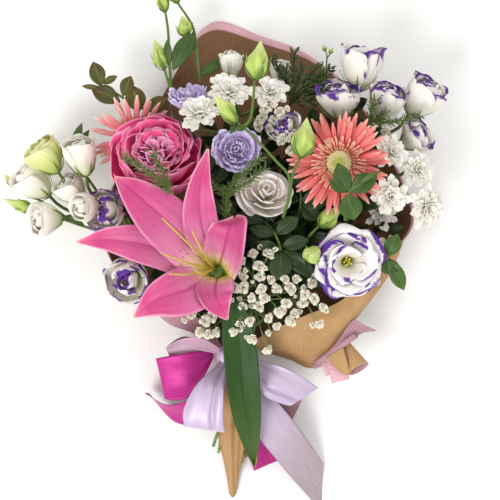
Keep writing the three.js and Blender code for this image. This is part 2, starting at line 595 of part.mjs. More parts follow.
const fixedPieces = () => {
  const knot = new THREE.SphereGeometry(1, 9, 6).rotateX(Math.PI / 2)
    .scale(KNOT.length, KNOT.width, KNOT.depth).translate(KNOT.x, KNOT.y, KNOT.height);
  const ribbons = (names) => names.map((name) => {
    const net = RIBBON_NETS[name];
    return blade(patch(net), 2 * (net.length - 1), 1, RIBBON);
  });
  const lilacRibbons = ribbons(["pale_loop", "lilac_loop_left", "lilac_loop_right", "lilac_tail"]);
  const leafLine = BIG_LEAF.line.map((p) => seen(...p));
  const lily = lilyBloom();
  const pieces = {
    paper_back: ["kraft", blade(paperPoint(BACK_SHEET), 7, 8, PAPER)],
    paper_cuff: ["kraft", blade(paperPoint(FRONT_CUFF), 6, 3, PAPER)],
    paper_fold: ["kraft", blade(paperPoint(LEFT_FOLD), 4, 2, PAPER)],
    paper_skirt: ["kraft", blade(paperPoint(SKIRT), 4, 5, PAPER)],
    binding: ["binding", tieRing(BINDING_RADIUS, BAND_THICKNESS, 0, BINDING_LENGTH)],
    big_leaf: ["darkLeaf", blade(strap({ line: leafLine, widths: BIG_LEAF.widths, cup: [3, 3] }), 7, 2,
      LEAF)],
    lily: ["pink", lily.solid],
    ribbon_lilac: ["lilac", fused([tieRing(BAND_RADIUS, BAND_THICKNESS, BAND_MIDDLE, BAND_LENGTH),
      solidOf(knot),
      ...lilacRibbons])],
    ribbon_magenta_loop: ["magenta", ribbons(["magenta_loop"])[0]],
    ribbon_magenta_tails: ["magenta", fused(ribbons(["magenta_tail", "magenta_tail_left"]))],
  };
  return { pieces, lilyFoot: lily.foot, leafFoot: leafLine[0] };
};

// ---------------------------------------------------------------- sprays of buds, leaves, needles and florets

const place = ([x, y, z]) => seen(x, y, z);

// A bud from its base to its tip.
function budBetween(base, tip, width) {
  const reach = tip.clone().sub(base);
  const turn = new THREE.Quaternion().setFromUnitVectors(Z_AXIS, reach.clone().normalize());
  const matrix = new THREE.Matrix4().compose(base, turn, new THREE.Vector3(1, 1, 1));
  return placedSolid(bud({ width, length: reach.length() }), matrix);
}

// A small leaf from its base to its tip: a thin lens with its edges bowed upwards.
const LEAF_BOW = 1.6;
// The places of a leaf's rim, as shares of its length and of its width.
const LEAF_RIM = [[0.3, 0.42], [0.66, 0.42], [1, 0], [0.66, -0.42], [0.3, -0.42]];
function leafBetween(base, tip, width) {
  const reach = tip.clone().sub(base);
  const side = new THREE.Vector3(reach.y, -reach.x, 0).normalize();
  const up = side.clone().cross(reach).normalize();
  const edge = (share, out, rise) =>
    base.clone().addScaledVector(reach, share).addScaledVector(side, out * width).addScaledVector(up, rise);
  const rim = [base.clone(), ...LEAF_RIM.map(([share, out]) => edge(share, out, out === 0 ? 0 : LEAF_BOW))];
  return ringed([rim], edge(0.48, 0, -LEAF / 2), edge(0.48, 0, LEAF));
}

// Buds, leaves and stems of one sprig. Lines and places are table points with heights.
const SPRIGS = {
  bud_spray_centre: { colour: "bud",
    stems: [[[48, 135, 130], [54, 155, 144], [54, 176, 150], [41, 191, 154], [20, 214, 158], [2, 230, 160]],
      [[8, 225, 160], [16, 236, 162], [20, 274, 170]], [[54, 155, 144], [58, 178, 150], [66, 196, 158]]],
    buds: [[[20, 272, 170], [26, 312, 176], 20], [[2, 229, 160], [-22, 258, 172], 14],
      [[66, 194, 158], [72, 235, 162], 21]],
    leaves: [[[2, 228, 160], [-5, 218, 164], 5], [[10, 226, 160], [0, 222, 166], 6]] },
  bud_low: { colour: "bud", stems: [[[70, 110, 92], [76, 118, 104], [85, 127, 110]]],
    buds: [[[84, 126, 110], [108, 146, 112], 17]], leaves: [] },
  bud_facing: { colour: "bud", stems: [[[73, 84, 92], [75, 91, 110], [77, 97, 126]]],
    buds: [[[77, 97, 124], [77, 98, 144], 16]],
    leaves: [] },
  bud_spray_left: { colour: "bud",
    stems: [[[-64, 244, 66], [-65, 263, 64], [-71, 284, 62]],
      [[-64, 262, 64], [-66, 300, 60], [-67, 322, 56], [-70, 342, 54]]],
    buds: [[[-71, 282, 62], [-81, 314, 60], 14], [[-70, 340, 54], [-75, 366, 52], 12]],
    leaves: [[[-62, 282, 62], [-41, 319, 62], 17], [[-66, 286, 60], [-68, 312, 66], 8]] },
  bud_spray_top: { colour: "bud",
    stems: [[[-35, 270, 58], [-39, 308, 58], [-43, 327, 56], [-58, 350, 54]],
      [[-38, 298, 58], [-48, 316, 56]]],
    buds: [[[-57, 349, 54], [-68, 368, 52], 11], [[-48, 315, 56], [-53, 337, 56], 15]],
    leaves: [[[-36, 276, 58], [-8, 292, 52], 10]] },
  left_bunch: { colour: "bud",
    stems: [[[-106, 112, 58], [-140, 122, 46], [-170, 132, 44], [-201, 142, 46]],
      [[-160, 129, 44], [-196, 152, 36], [-220, 166, 40]]],
    buds: [[[-199, 141, 46], [-232, 153, 48], 12], [[-219, 165, 40], [-231, 178, 42], 9]],
    leaves: [[[-150, 126, 44], [-165, 136, 50], 6]] },
  bunch_leaves: { colour: "leaf",
    stems: [[[-132, 152, 52], [-146, 172, 48], [-164, 198, 52]]],
    buds: [],
    leaves: [[[-164, 196, 52], [-153, 229, 58], 9], [[-160, 192, 52], [-146, 222, 56], 9],
      [[-164, 196, 52], [-184, 207, 52], 12]] },
  twig_upper_left: { colour: "leaf",
    stems: [[[-72, 236, 62], [-100, 247, 64], [-118, 258, 66], [-135, 267, 66]]],
    buds: [],
    leaves: [[[-134, 266, 66], [-142, 290, 70], 15], [[-132, 268, 66], [-118, 276, 68], 7],
      [[-112, 256, 66], [-104, 276, 68], 13], [[-115, 250, 66], [-143, 262, 66], 17],
      [[-96, 240, 64], [-102, 266, 66], 19], [[-88, 244, 64], [-68, 254, 68], 13],
        [[-135, 265, 66], [-153, 266, 70], 5]] },
  twig_front: { colour: "leaf",
    stems: [[[110, 132, 134], [112, 148, 147], [114, 160, 154], [125, 170, 158]]],
    buds: [],
    leaves: [[[113, 160, 154], [101, 196, 160], 18], [[112, 160, 154], [94, 172, 158], 11],
      [[115, 160, 154], [142, 176, 158], 17], [[112, 158, 152], [120, 128, 152], 24],
        [[124, 168, 158], [146, 181, 164], 5]] },
  twig_right: { colour: "leaf",
    stems: [[[128, 78, 102], [143, 86, 108], [154, 97, 110]]],
    buds: [],
    leaves: [[[153, 96, 110], [163, 118, 114], 15], [[150, 92, 108], [152, 78, 110], 12],
      [[153, 94, 110], [169, 62, 104], 14],
      [[146, 86, 108], [166, 84, 110], 12]] },
  leaves_centre: { colour: "darkLeaf",
    stems: [[[46, 84, 84], [46, 101, 102], [40, 118, 104], [30, 130, 100]]],
    buds: [],
    leaves: [[[46, 100, 104], [42, 72, 112], 22], [[47, 101, 104], [80, 74, 106], 17],
      [[48, 102, 104], [72, 86, 110], 11],
      [[45, 102, 104], [22, 110, 106], 12], [[47, 106, 104], [74, 112, 106], 14],
      [[40, 118, 104], [14, 124, 108], 12], [[41, 118, 104], [64, 134, 108], 15],
        [[30, 130, 100], [2, 138, 104], 13],
      [[31, 130, 100], [40, 146, 98], 14]] },
  leaves_middle: { colour: "darkLeaf",
    stems: [[[60, 126, 84], [66, 150, 98], [62, 176, 104]]],
    buds: [],
    leaves: [[[66, 150, 98], [96, 158, 104], 20], [[66, 148, 98], [84, 132, 98], 16],
      [[64, 164, 102], [56, 190, 112], 14],
      [[62, 176, 104], [70, 204, 104], 14], [[62, 150, 98], [40, 168, 92], 12]] },
  leaves_left: { colour: "darkLeaf",
    stems: [[[-24, 128, 78], [-22, 150, 92], [-26, 176, 100]]],
    buds: [],
    leaves: [[[-22, 150, 92], [2, 140, 98], 14], [[-22, 152, 92], [-46, 150, 90], 14],
      [[-24, 168, 98], [-6, 184, 100], 12],
      [[-26, 176, 100], [-30, 204, 100], 13], [[-24, 164, 98], [-50, 172, 96], 12]] },
};

// A twig's straight stretches: one between two of its places, or two where it has only three places.
const stepsOf = (line) => (line.length === 3 ? 4 : line.length - 1);

// The places along some tubes' stations, nearest to the target first.
function nearestOn(tubes, target) {
  const SAMPLES = 24;
  const places = tubes.flatMap((stretches) =>
    Array.from({ length: SAMPLES + 1 }, (_, k) => onStretch(stretches, k / SAMPLES)));
  return places.sort((p, q) => p.distanceTo(target) - q.distanceTo(target));
}

function sprig({ stems, buds, leaves }) {
  const lines = stems.map((line) => line.map(place));
  const twigs = lines.map((line) => tube(line, TWIG_RADII, 3, stepsOf(line)));
  const ends = buds.map(([base, tip, width]) => budBetween(place(base), place(tip), width));
  const stretches = lines.map((line) => stations(line, stepsOf(line)));
  const taken = [];
  const loose = leaves.map(([base, tip, width]) => {
    const isFree = (p) => taken.every((q) => q.distanceTo(p) > LEAF_SPACING);
    const free = nearestOn(stretches, place(base)).find(isFree);
    taken.push(free.clone());
    return [free.addScaledVector(place(tip).sub(free).normalize(), -LEAF_SINK), place(tip), width];
  });
  return { core: fused([...twigs, ...ends]), loose };
}

// Needle sprays: branches with needles standing out all round; reach is a needle's length.
const NEEDLE_SPRAYS = {
  needles_left: { reach: 9, every: 11, branches: [[[-62, 158, 158], [-84, 178, 166], [-110, 196, 160]],
    [[-66, 161, 159], [-72, 180, 166], [-82, 198, 162]]] },
  needles_centre: { reach: 8.5, every: 11, branches: [[[-9, 128, 130], [-8, 158, 140], [2, 172, 146],
    [25, 195, 154]],
    [[-8, 158, 140], [10, 168, 150], [29, 183, 154]], [[-8, 158, 140], [-24, 166, 142]]] },
  needles_right: { reach: 9, every: 10, branches: [[[134, 222, 106], [136, 240, 114], [140, 252, 118]],
    [[135, 231, 110], [143, 234, 113], [150, 240, 116]],
      [[135, 231, 110], [158, 230, 108], [184, 236, 108]]] },
};

// Long leaves that fan out from one place behind the blooms.
const FAN = { foot: [52, 238, 78], branch: [58, 256, 82],
  tips: [[59, 300, 72], [38, 295, 74], [68, 286, 78], [84, 287, 74], [88, 277, 80], [86, 270, 84],
    [91, 262, 84],
    [76, 250, 88], [50, 284, 84], [96, 284, 72]], width: 4.5, radii: [1.4, 1.2], spacing: 0.07 };

const SPRIG_OF_WAX = { foot: [90, 256, 62], fork: [92, 296, 56],
  ends: [[88, 307, 56], [98, 304, 56], [96, 274, 58], [86, 282, 58]], size: 5, length: 8, radii: [1.2, 0.8] };

// Florets of the gypsophila in each spray: the hubs that their stalks leave and the florets' places.
const FLORET_SIZE = 9.5;
const GYPSOPHILA = {
  gypsophila_front: { height: 112, hubs: [[6, 58], [20, 72], [44, 58], [70, 54], [22, 38]],
    florets: [[7, 90], [3, 79], [24, 85], [26, 73], [8, 64], [-3, 60], [30, 55], [42, 63], [50, 72],
      [56, 62], [77, 68], [71, 57], [81, 52], [68, 47], [87, 41], [8, 46], [24, 44], [51, 49], [58, 36],
      [15, 31], [2, 24], [17, 14], [35, 32], [32, 8], [18, 97]] },
  gypsophila_left: { height: 104, hubs: [[-32, 34]],
    florets: [[-44, 54], [-43, 37], [-29, 32], [-35, 20], [-22, 20]] },
  gypsophila_back: { height: 98, hubs: [[32, 236]],
    florets: [[31, 243], [27, 234], [44, 240], [34, 224], [24, 226]] },
  gypsophila_middle: { height: 104, hubs: [[62, 206]],
    florets: [[66, 210], [58, 214], [70, 202], [56, 202], [48, 212]] },
  gypsophila_right: { height: 98, hubs: [[140, 216]],
    florets: [[135, 222], [146, 212], [150, 220], [136, 210]] },
};
const HUB_DROP = 16;
const SPRAY_ROOT = new THREE.Vector3(0, -6, -12); // from its first hub
const SPRAY_FOOT = new THREE.Vector3(0, -0.5, -0.85).normalize(); // the way its stem comes from
const FOOT_LENGTH = 6;
const SPRAY_RADII = [1.4, 1.2];
const FLORET_SPACING = 0.08; // between the florets' stalks, as a share of the way from a hub to the root

function floret(centre, size, turn) {
  const TIPS = 4;
  const ring = Array.from({ length: TIPS * 2 }, (_, k) => {
    const radius = (size / 2) * (k % 2 ? 0.62 : 1);
    const angle = turn + (k * Math.PI) / TIPS;
    return centre.clone().add(new THREE.Vector3(radius * Math.cos(angle), radius * Math.sin(angle), 0));
  });
  return ringed([ring], centre.clone().setZ(centre.z - 1.6), centre.clone().setZ(centre.z + 2));
}

// ---------------------------------------------------------------- laying it all out, each piece clear of the rest

// Blooms that grow on one branching stem, and the table point and height where their stalks part.
const SPRAYS = {
  mums_top: { joint: [4, 214, 58], blooms: ["mum_top_left", "mum_top", "mum_top_right"] },
  mums_right: { joint: [128, 158, 52], blooms: ["mum_low_right", "mum_far_right", "mum_right",
    "mum_upper_right"] },
  mums_low: { joint: [116, 96, 44], blooms: ["mum_hidden", "mum_edge"] },
  lisianthus_upper_right: { joint: [120, 204, 40],
    blooms: ["lisianthus_top", "lisianthus_upper", "lisianthus_outer", "lisianthus_right"] },
  lisianthus_behind: { joint: [64, 196, 50], blooms: ["lisianthus_rear", "lisianthus_peeping"] },
  lisianthus_left: { joint: [-82, 84, 38], blooms: ["lisianthus_high_left", "lisianthus_low_left",
    "bunch_inner"] },
  lisianthus_white: { joint: [6, 236, 34], blooms: ["white_back", "white_back_right"] },
  left_bunch: { joint: [-104, 112, 58],
    blooms: ["bunch_green", "bunch_top", "bunch_left", "bunch_middle", "bunch_low"] },
};
const STALK_RADIUS = 1.5;
const NEEDLE_RADIUS = 0.6;
const GOLDEN_ANGLE = 137.5 * DEGREE;
const CORE_LENGTH = 44; // the stems' bound stretch
const CORE_SPREAD = 19; // across it, the main stems leave it in rows at these heights from its middle
const CORE_ROWS = [0, -5.5, 5.5];
const CUT_ENDS = 8;
const CUT = { length: 92, uneven: 12, height: 16, rise: 8, left: -24, spread: 40 };
const CUT_ASIDES = [0, 8, -8, 16, -16];
const LIFTS = [0, 5, -5, 10, 15, -10]; // of a floret that is in the way of another piece
const LEAF_LIFTS = [0, 4, -4, 8, -8, 12, -12, 16];
const LONG_LEAF_LIFTS = [0, -6, 6, -12, 12];
const SINK = 2.6; // how far a fused stalk runs into what it grows from

const placed = [];
const nodes = new Map();

function add(node, colour, solid) {
  placed.push({ node, solid, box: solid.boundingBox() });
  if (!nodes.has(node)) nodes.set(node, { colour, solids: [] });
  nodes.get(node).solids.push(solid);
}

function isClear(solid, node) {
  const box = solid.boundingBox();
  if (box.min[2] < CLEARANCE) return false;
  return placed.every((piece) => {
    if (piece.node === node) return true;
    const { min, max } = piece.box;
    const apart = [0, 1, 2].some((k) => box.min[k] > max[k] + CLEARANCE || box.max[k] < min[k] - CLEARANCE);
    return apart || solid.minGap(piece.solid, CLEARANCE) >= CLEARANCE;
  });
}

// Keeps the first of some tries that is clear of the other nodes.
function addFirstClear(node, tries) {
  const found = tries.find((solid) => isClear(solid, node));
  if (found) add(node, null, found);
}

const ABOVE_TABLE = 3; // a stem's middle stays at least this far over the table
const APPROACHES = [16, 7, 26];
const SIDEWAYS = [0, 10, -10, 22, -22, 38, -38, 54, -54];
const UPWARDS = [0, -12, 12, -24, 24, 40];
const BRANCH_CHOICE = 3; // a branch may leave its stem at every third sample
const BRANCH_TRIES = 12;
const LEAF_SPACING = 3;
const LEAF_SINK = 0.4;

// A stem from start to end, coming to its end from the side away; it bends round whatever is in its way.
function stemBetween({ start, end, away, radius, tip, node, sides, steps }) {
  for (const approach of APPROACHES) {
    const before = end.clone().addScaledVector(away, approach);
    const across = before.clone().sub(start).cross(Z_AXIS).normalize();
    for (const sideways of SIDEWAYS)
      for (const upwards of UPWARDS) {
        const middle = start.clone().lerp(before, 0.5).addScaledVector(across, sideways);
        middle.z = Math.max(middle.z + upwards, radius + ABOVE_TABLE);
        const stem = tube([start, middle, before, end], [radius, radius, radius, tip ?? radius], sides, steps);
        if (isClear(stem, node)) return { stem, stretches: stations([start, middle, before, end], steps) };
      }
  }
  return null;
}

const ends = []; // what the main stems lead to: a place and the direction that a stem comes from

const { pieces, lilyFoot, leafFoot } = fixedPieces();
for (const [node, [colour, solid]] of Object.entries(pieces)) add(node, colour, solid);
ends.push({ name: "lily", end: lilyFoot, away: new THREE.Vector3(0, -0.4, -0.9).normalize() });
ends.push({ name: "big_leaf", end: leafFoot, away: new THREE.Vector3(-0.1, 0.75, -0.65).normalize() });

const sprayOf = (bloom) => Object.keys(SPRAYS).find((name) => SPRAYS[name].blooms.includes(bloom)) ?? bloom;
const stalkEnds = new Map(Object.keys(SPRAYS).map((name) => [name, []]));
for (const [name, { at, z, middle, facing, colour, make, stemFrom }] of Object.entries(BLOOMS)) {
  const turn = new THREE.Quaternion().setFromUnitVectors(Z_AXIS, new THREE.Vector3(...facing).normalize());
  const away = Z_AXIS.clone().applyQuaternion(turn).negate();
  const scale = nearness(z);
  const foot = seen(...at, z).addScaledVector(away, middle * scale);
  const size = new THREE.Vector3(scale, scale, scale);
  const solid = placedSolid(make(), new THREE.Matrix4().compose(foot, turn, size));
  const node = sprayOf(name);
  add(node, colour, solid);
  if (node !== name) stalkEnds.get(node).push({ name, foot, away });
  else if (stemFrom) ends.push({ name, end: foot.clone().add(away), away: new THREE.Vector3(...stemFrom) });
  else ends.push({ name, end: foot.clone(), away });
}

for (const [node, { joint }] of Object.entries(SPRAYS)) {
  const start = place(joint);
  for (const { name, foot, away } of stalkEnds.get(node)) {
    const beside = away.clone().cross(Y_AXIS).normalize().multiplyScalar(STALK_RADIUS);
    const end = foot.clone().addScaledVector(away, -SINK).add(beside);
    const radii = { radius: STALK_RADIUS, tip: STEM_TIP };
    const stalk = stemBetween({ start, end, away, ...radii, node, sides: 3, steps: 3 });
    if (stalk) add(node, null, stalk.stem);
  }
  ends.push({ name: node, end: start.clone(), joint: true });
}

for (const [node, shape] of Object.entries(SPRIGS)) {
  const { core, loose } = sprig(shape);
  add(node, shape.colour, core);
  for (const [base, tip, width] of loose) {
    addFirstClear(node, LEAF_LIFTS.map((lift) => leafBetween(base, tip.clone().setZ(tip.z + lift), width)));
  }
  const [first, second] = shape.stems[0].map(place);
  if (!(node in SPRAYS)) ends.push({ name: node, end: first, away: first.clone().sub(second).normalize() });
}

for (const [node, { reach, every, branches }] of Object.entries(NEEDLE_SPRAYS)) {
  const lines = branches.map((line) => line.map(place));
  const twigs = fused(lines.map((line) => tube(line, NEEDLE_TWIG_RADII, 3, stepsOf(line))));
  add(node, "needle", twigs);
  for (const line of lines) {
    const length = new THREE.CatmullRomCurve3(line, false, "catmullrom").getLength();
    const count = Math.floor(length / every);
    const stretches = stations(line, stepsOf(line));
    for (let k = 1; k <= count; k++) {
      const share = (k / count) * 0.98;
      const foot = onStretch(stretches, share);
      const ahead = foot.clone().sub(onStretch(stretches, share - 0.02)).normalize();
      const side = ahead.clone().cross(Z_AXIS).normalize();
      const up = side.clone().cross(ahead);
      const turn = k * GOLDEN_ANGLE;
      const out = side.multiplyScalar(Math.cos(turn)).addScaledVector(up, Math.sin(turn));
      const tip = foot.clone().addScaledVector(out, reach * 0.7).addScaledVector(ahead, reach * 0.75);
      addFirstClear(node, [needle(foot, tip, NEEDLE_RADIUS)]);
    }
  }
  const [first, second] = lines[0];
  ends.push({ name: node, end: first, away: first.clone().sub(second).normalize() });
}

{
  const node = "long_leaves";
  const [foot, branch] = [place(FAN.foot), place(FAN.branch)];
  add(node, "needle", tube([foot, foot.clone().lerp(branch, 0.5), branch], FAN.radii, 4, 2));
  FAN.tips.map(place).forEach((tip, k) => {
    const from = branch.clone().lerp(foot, FAN.spacing * (0.6 + k));
    const lifted = (lift) => leafBetween(from, tip.clone().setZ(tip.z + lift), FAN.width);
    addFirstClear(node, LONG_LEAF_LIFTS.map(lifted));
  });
  ends.push({ name: node, end: foot, away: foot.clone().sub(branch).normalize() });
}

{
  const node = "wax_sprig";
  const [foot, fork] = [place(SPRIG_OF_WAX.foot), place(SPRIG_OF_WAX.fork)];
  const line = [foot, foot.clone().lerp(fork, 0.5), fork];
  add(node, "needle", tube(line, SPRIG_OF_WAX.radii, 4, 2));
  for (const end of SPRIG_OF_WAX.ends.map(place)) {
    const [from] = nearestOn([line], end.clone().addScaledVector(Y_AXIS, -SPRIG_OF_WAX.length));
    from.addScaledVector(end.clone().sub(from).normalize(), -LEAF_SINK);
    const belly = from.clone().lerp(end, 0.6);
    const ring = [0, 1, 2].map((k) => {
      const turn = (k * 2 * Math.PI) / 3;
      const out = new THREE.Vector3(Math.cos(turn), 0, Math.sin(turn));
      return belly.clone().addScaledVector(out, SPRIG_OF_WAX.size / 2);
    });
    addFirstClear(node, [ringed([ring.reverse()], from, end)]);
  }
  ends.push({ name: node, end: foot, away: foot.clone().sub(fork).normalize() });
}

for (const [node, { height, hubs, florets }] of Object.entries(GYPSOPHILA)) {
  const hubPlaces = hubs.map(([x, y]) => seen(x, y, height - HUB_DROP));
  const root = hubPlaces[0].clone().add(SPRAY_ROOT);
  const base = root.clone().addScaledVector(SPRAY_FOOT, FOOT_LENGTH);
  const end = root.clone().addScaledVector(SPRAY_FOOT, -1);
  const foot = tube([base, end], [SPRAY_RADII[1], SPRAY_RADII[1]], 3, 1);
  const stalks = fused([foot, ...hubPlaces.map((hub) => tube([root, hub], SPRAY_RADII, 3, 1))]);
  add(node, "gypsophila", stalks);
  const onHub = hubPlaces.map(() => 0);
  florets.forEach(([x, y], k) => {
    const over = seen(x, y, height);
    const hub = hubPlaces.reduce((best, other, i) =>
      (other.distanceTo(over) < hubPlaces[best].distanceTo(over) ? i : best), 0);
    const share = FLORET_SPACING * (0.4 + onHub[hub]++);
    const tries = LIFTS.map((lift) => {
      const centre = seen(x, y, height + lift);
      const start = hubPlaces[hub].clone().lerp(root, share);
      const facet = new THREE.Vector3(Math.cos(k + 0.3), Math.sin(k + 0.3), 0).multiplyScalar(FLORET_SIZE / 4);
      return fused([floret(centre, FLORET_SIZE, k), needle(start, centre.add(facet), NEEDLE_RADIUS)]);
    });
    addFirstClear(node, tries);
  });
  ends.push({ name: node, end: base, away: SPRAY_FOOT });
}

// The main stems: bound together at the tie, cut off below it, each leading up to what it carries.
add("stems", "stem", solidOf(new THREE.CylinderGeometry(BUNDLE_RADIUS, BUNDLE_RADIUS, CORE_LENGTH, 10)
  .translate(0, 0, TIE_HEIGHT)));
const routes = [];
function growStem({ end, away, joint }, starts, radius) {
  for (const start of starts) {
    const from = away ?? start.clone().sub(end).normalize();
    const found = (joint ? JOINT_SEATS : [SEAT]).map((gap) => {
      const seat = end.clone().addScaledVector(from, gap);
      const route = { start, end: seat, away: from, radius, tip: STEM_TIP };
      return stemBetween({ ...route, node: "stems", sides: 3, steps: 3 });
    }).find(Boolean);
    if (!found) continue;
    add("stems", null, found.stem);
    routes.push(found.stretches);
    return;
  }
}
const isMain = ({ name }) => name in BLOOMS || name in SPRAYS || name === "lily";
const leaning = ({ end }) => end.x / end.y;
const mainEnds = ends.filter(isMain).sort((p, q) => leaning(p) - leaning(q));
mainEnds.forEach((carried, k) => {
  const across = (k / (mainEnds.length - 1) - 0.5) * CORE_SPREAD;
  const row = CORE_ROWS[k % CORE_ROWS.length];
  const start = new THREE.Vector3(across, CORE_LENGTH / 2 - SINK, TIE_HEIGHT + row);
  growStem(carried, [start], STEM_RADIUS);
});
for (const carried of ends.filter((other) => !isMain(other))) {
  const starts = nearestOn(routes, carried.end).filter((p, k) => k % BRANCH_CHOICE === 0);
  growStem(carried, starts.slice(0, BRANCH_TRIES), BRANCH_RADIUS);
}
for (let k = 0; k < CUT_ENDS; k++) {
  const share = (k + 0.5) / CUT_ENDS;
  const turn = k * GOLDEN_ANGLE;
  const spread = BUNDLE_RADIUS * 0.7 * Math.sqrt(share);
  const [aside, up] = [Math.cos(turn), Math.sin(turn)];
  const start = new THREE.Vector3(spread * aside, SINK - CORE_LENGTH / 2, TIE_HEIGHT + spread * up);
  const tries = CUT_ASIDES.map((shift) => {
    const x = CUT.left + CUT.spread * share + shift;
    const end = new THREE.Vector3(x, -CUT.length - CUT.uneven * up, CUT.height + CUT.rise * aside);
    return tube([start, end], [STEM_RADIUS, STEM_RADIUS], 4, 1);
  });
  addFirstClear("stems", tries);
}

// ---------------------------------------------------------------- the bouquet, over the middle of its box

const whole = new THREE.Box3();
for (const { box } of placed) {
  whole.expandByPoint(new THREE.Vector3(...box.min));
  whole.expandByPoint(new THREE.Vector3(...box.max));
}
const middle = whole.getCenter(new THREE.Vector3()).setZ(whole.min.z);

const bouquet = new THREE.Group();
for (const [name, { colour, solids }] of nodes) {
  const roughness = ROUGHNESS[colour] ?? 0.7;
  const material = new THREE.MeshStandardMaterial({ color: COLOURS[colour], roughness });
  const mesh = new THREE.Mesh(geometryFrom(filled(fused(solids))), material);
  mesh.name = name;
  mesh.position.copy(middle).negate();
  bouquet.add(mesh);
}
export default bouquet;
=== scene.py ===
"""A mixed flower bouquet in kraft paper with satin ribbons, lying on its back.

Sizes are in millimetres. Places are measured from the tie, x to the right and y towards the blooms; most are
given as the point of the table that the eye sees behind them, with their height over the table.
"""
import math
import random

import bpy
from mathutils import Matrix, Vector, noise


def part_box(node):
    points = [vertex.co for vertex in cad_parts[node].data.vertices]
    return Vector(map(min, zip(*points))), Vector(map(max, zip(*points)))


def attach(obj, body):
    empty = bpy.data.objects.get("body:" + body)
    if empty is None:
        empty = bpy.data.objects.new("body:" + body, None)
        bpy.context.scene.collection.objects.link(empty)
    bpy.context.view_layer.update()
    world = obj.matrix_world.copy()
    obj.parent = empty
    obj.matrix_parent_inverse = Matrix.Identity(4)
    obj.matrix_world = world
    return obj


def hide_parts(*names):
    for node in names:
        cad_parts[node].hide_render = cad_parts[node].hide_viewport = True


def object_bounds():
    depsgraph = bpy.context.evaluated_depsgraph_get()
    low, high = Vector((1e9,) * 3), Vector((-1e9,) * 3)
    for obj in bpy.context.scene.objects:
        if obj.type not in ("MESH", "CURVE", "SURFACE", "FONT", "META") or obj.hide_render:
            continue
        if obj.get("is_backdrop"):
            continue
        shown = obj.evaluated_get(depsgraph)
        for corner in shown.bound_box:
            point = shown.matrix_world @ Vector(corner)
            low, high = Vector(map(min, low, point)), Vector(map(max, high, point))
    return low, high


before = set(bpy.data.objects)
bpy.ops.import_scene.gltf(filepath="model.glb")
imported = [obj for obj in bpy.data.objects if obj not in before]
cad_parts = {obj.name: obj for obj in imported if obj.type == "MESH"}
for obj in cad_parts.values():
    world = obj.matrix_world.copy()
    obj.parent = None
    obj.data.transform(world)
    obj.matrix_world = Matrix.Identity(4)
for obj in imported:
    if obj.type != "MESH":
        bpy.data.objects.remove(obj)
cad_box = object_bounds()

MM = 0.001
TURN = 2 * math.pi
GOLDEN_ANGLE = math.radians(137.5)
UP = Vector((0, 0, 1))
# The eye's place over the table, and the height of the stems' middle where they are tied.
EYE = Vector((15, 102, 1500))
TIE_HEIGHT = 24
# The thickness of petals, of sepals, of leaf blades, of the fleshy lily, and of paper and ribbon.
PETAL, SEPAL, BLADE, LILY_FLESH = 0.5, 0.5, 0.7, 0.8
PAPER, ROLLED_PAPER, SATIN, BAND = 0.5, 0.4, 0.45, 0.5

tie_low, tie_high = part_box("binding")
TIE = Vector(((tie_low[0] + tie_high[0]) / 2, (tie_low[1] + tie_high[1]) / 2, 0))
# Meshes are shifted to the tie when they are made; this takes a shape back round the origin before that.
FROM_TIE = Matrix.Translation(-TIE / MM)


# ------------------------------------------------------------------ places


def seen(x, y, z):
    """The place at height z that the eye sees over the table's point (x, y)."""
    return Vector((x, y, 0)).lerp(EYE, z / EYE.z)


def nearness(z):
    """How much smaller a piece at height z is than the patch of table that it hides."""
    return 1 - z / EYE.z


def spline(points, t):
    """The place or the number at share t of a smooth line through some, evenly spread from 0 to 1."""
    spans = len(points) - 1
    place = min(max(t, 0), 1) * spans
    low = min(int(place), spans - 1)
    share = place - low
    before = points[low - 1] if low else points[0] * 2 - points[1]
    after = points[low + 2] if low + 2 <= spans else points[-1] * 2 - points[-2]
    a, b = points[low], points[low + 1]
    return 0.5 * (
        2 * a
        + (b - before) * share
        + (2 * before - 5 * a + 4 * b - after) * share**2
        + (3 * a - before - 3 * b + after) * share**3
    )


def smooth_line(line, steps, start=0.0):
    """Places along a smooth line through some others, from a share of its length on to its end."""
    return [spline(line, start + (1 - start) * i / steps) for i in range(steps + 1)]


def scaled(values, size):
    """Numbers, or pairs of numbers, all times a size."""
    return [(v[0] * size, v[1] * size) if isinstance(v, tuple) else v * size for v in values]


# ------------------------------------------------------------------ meshes


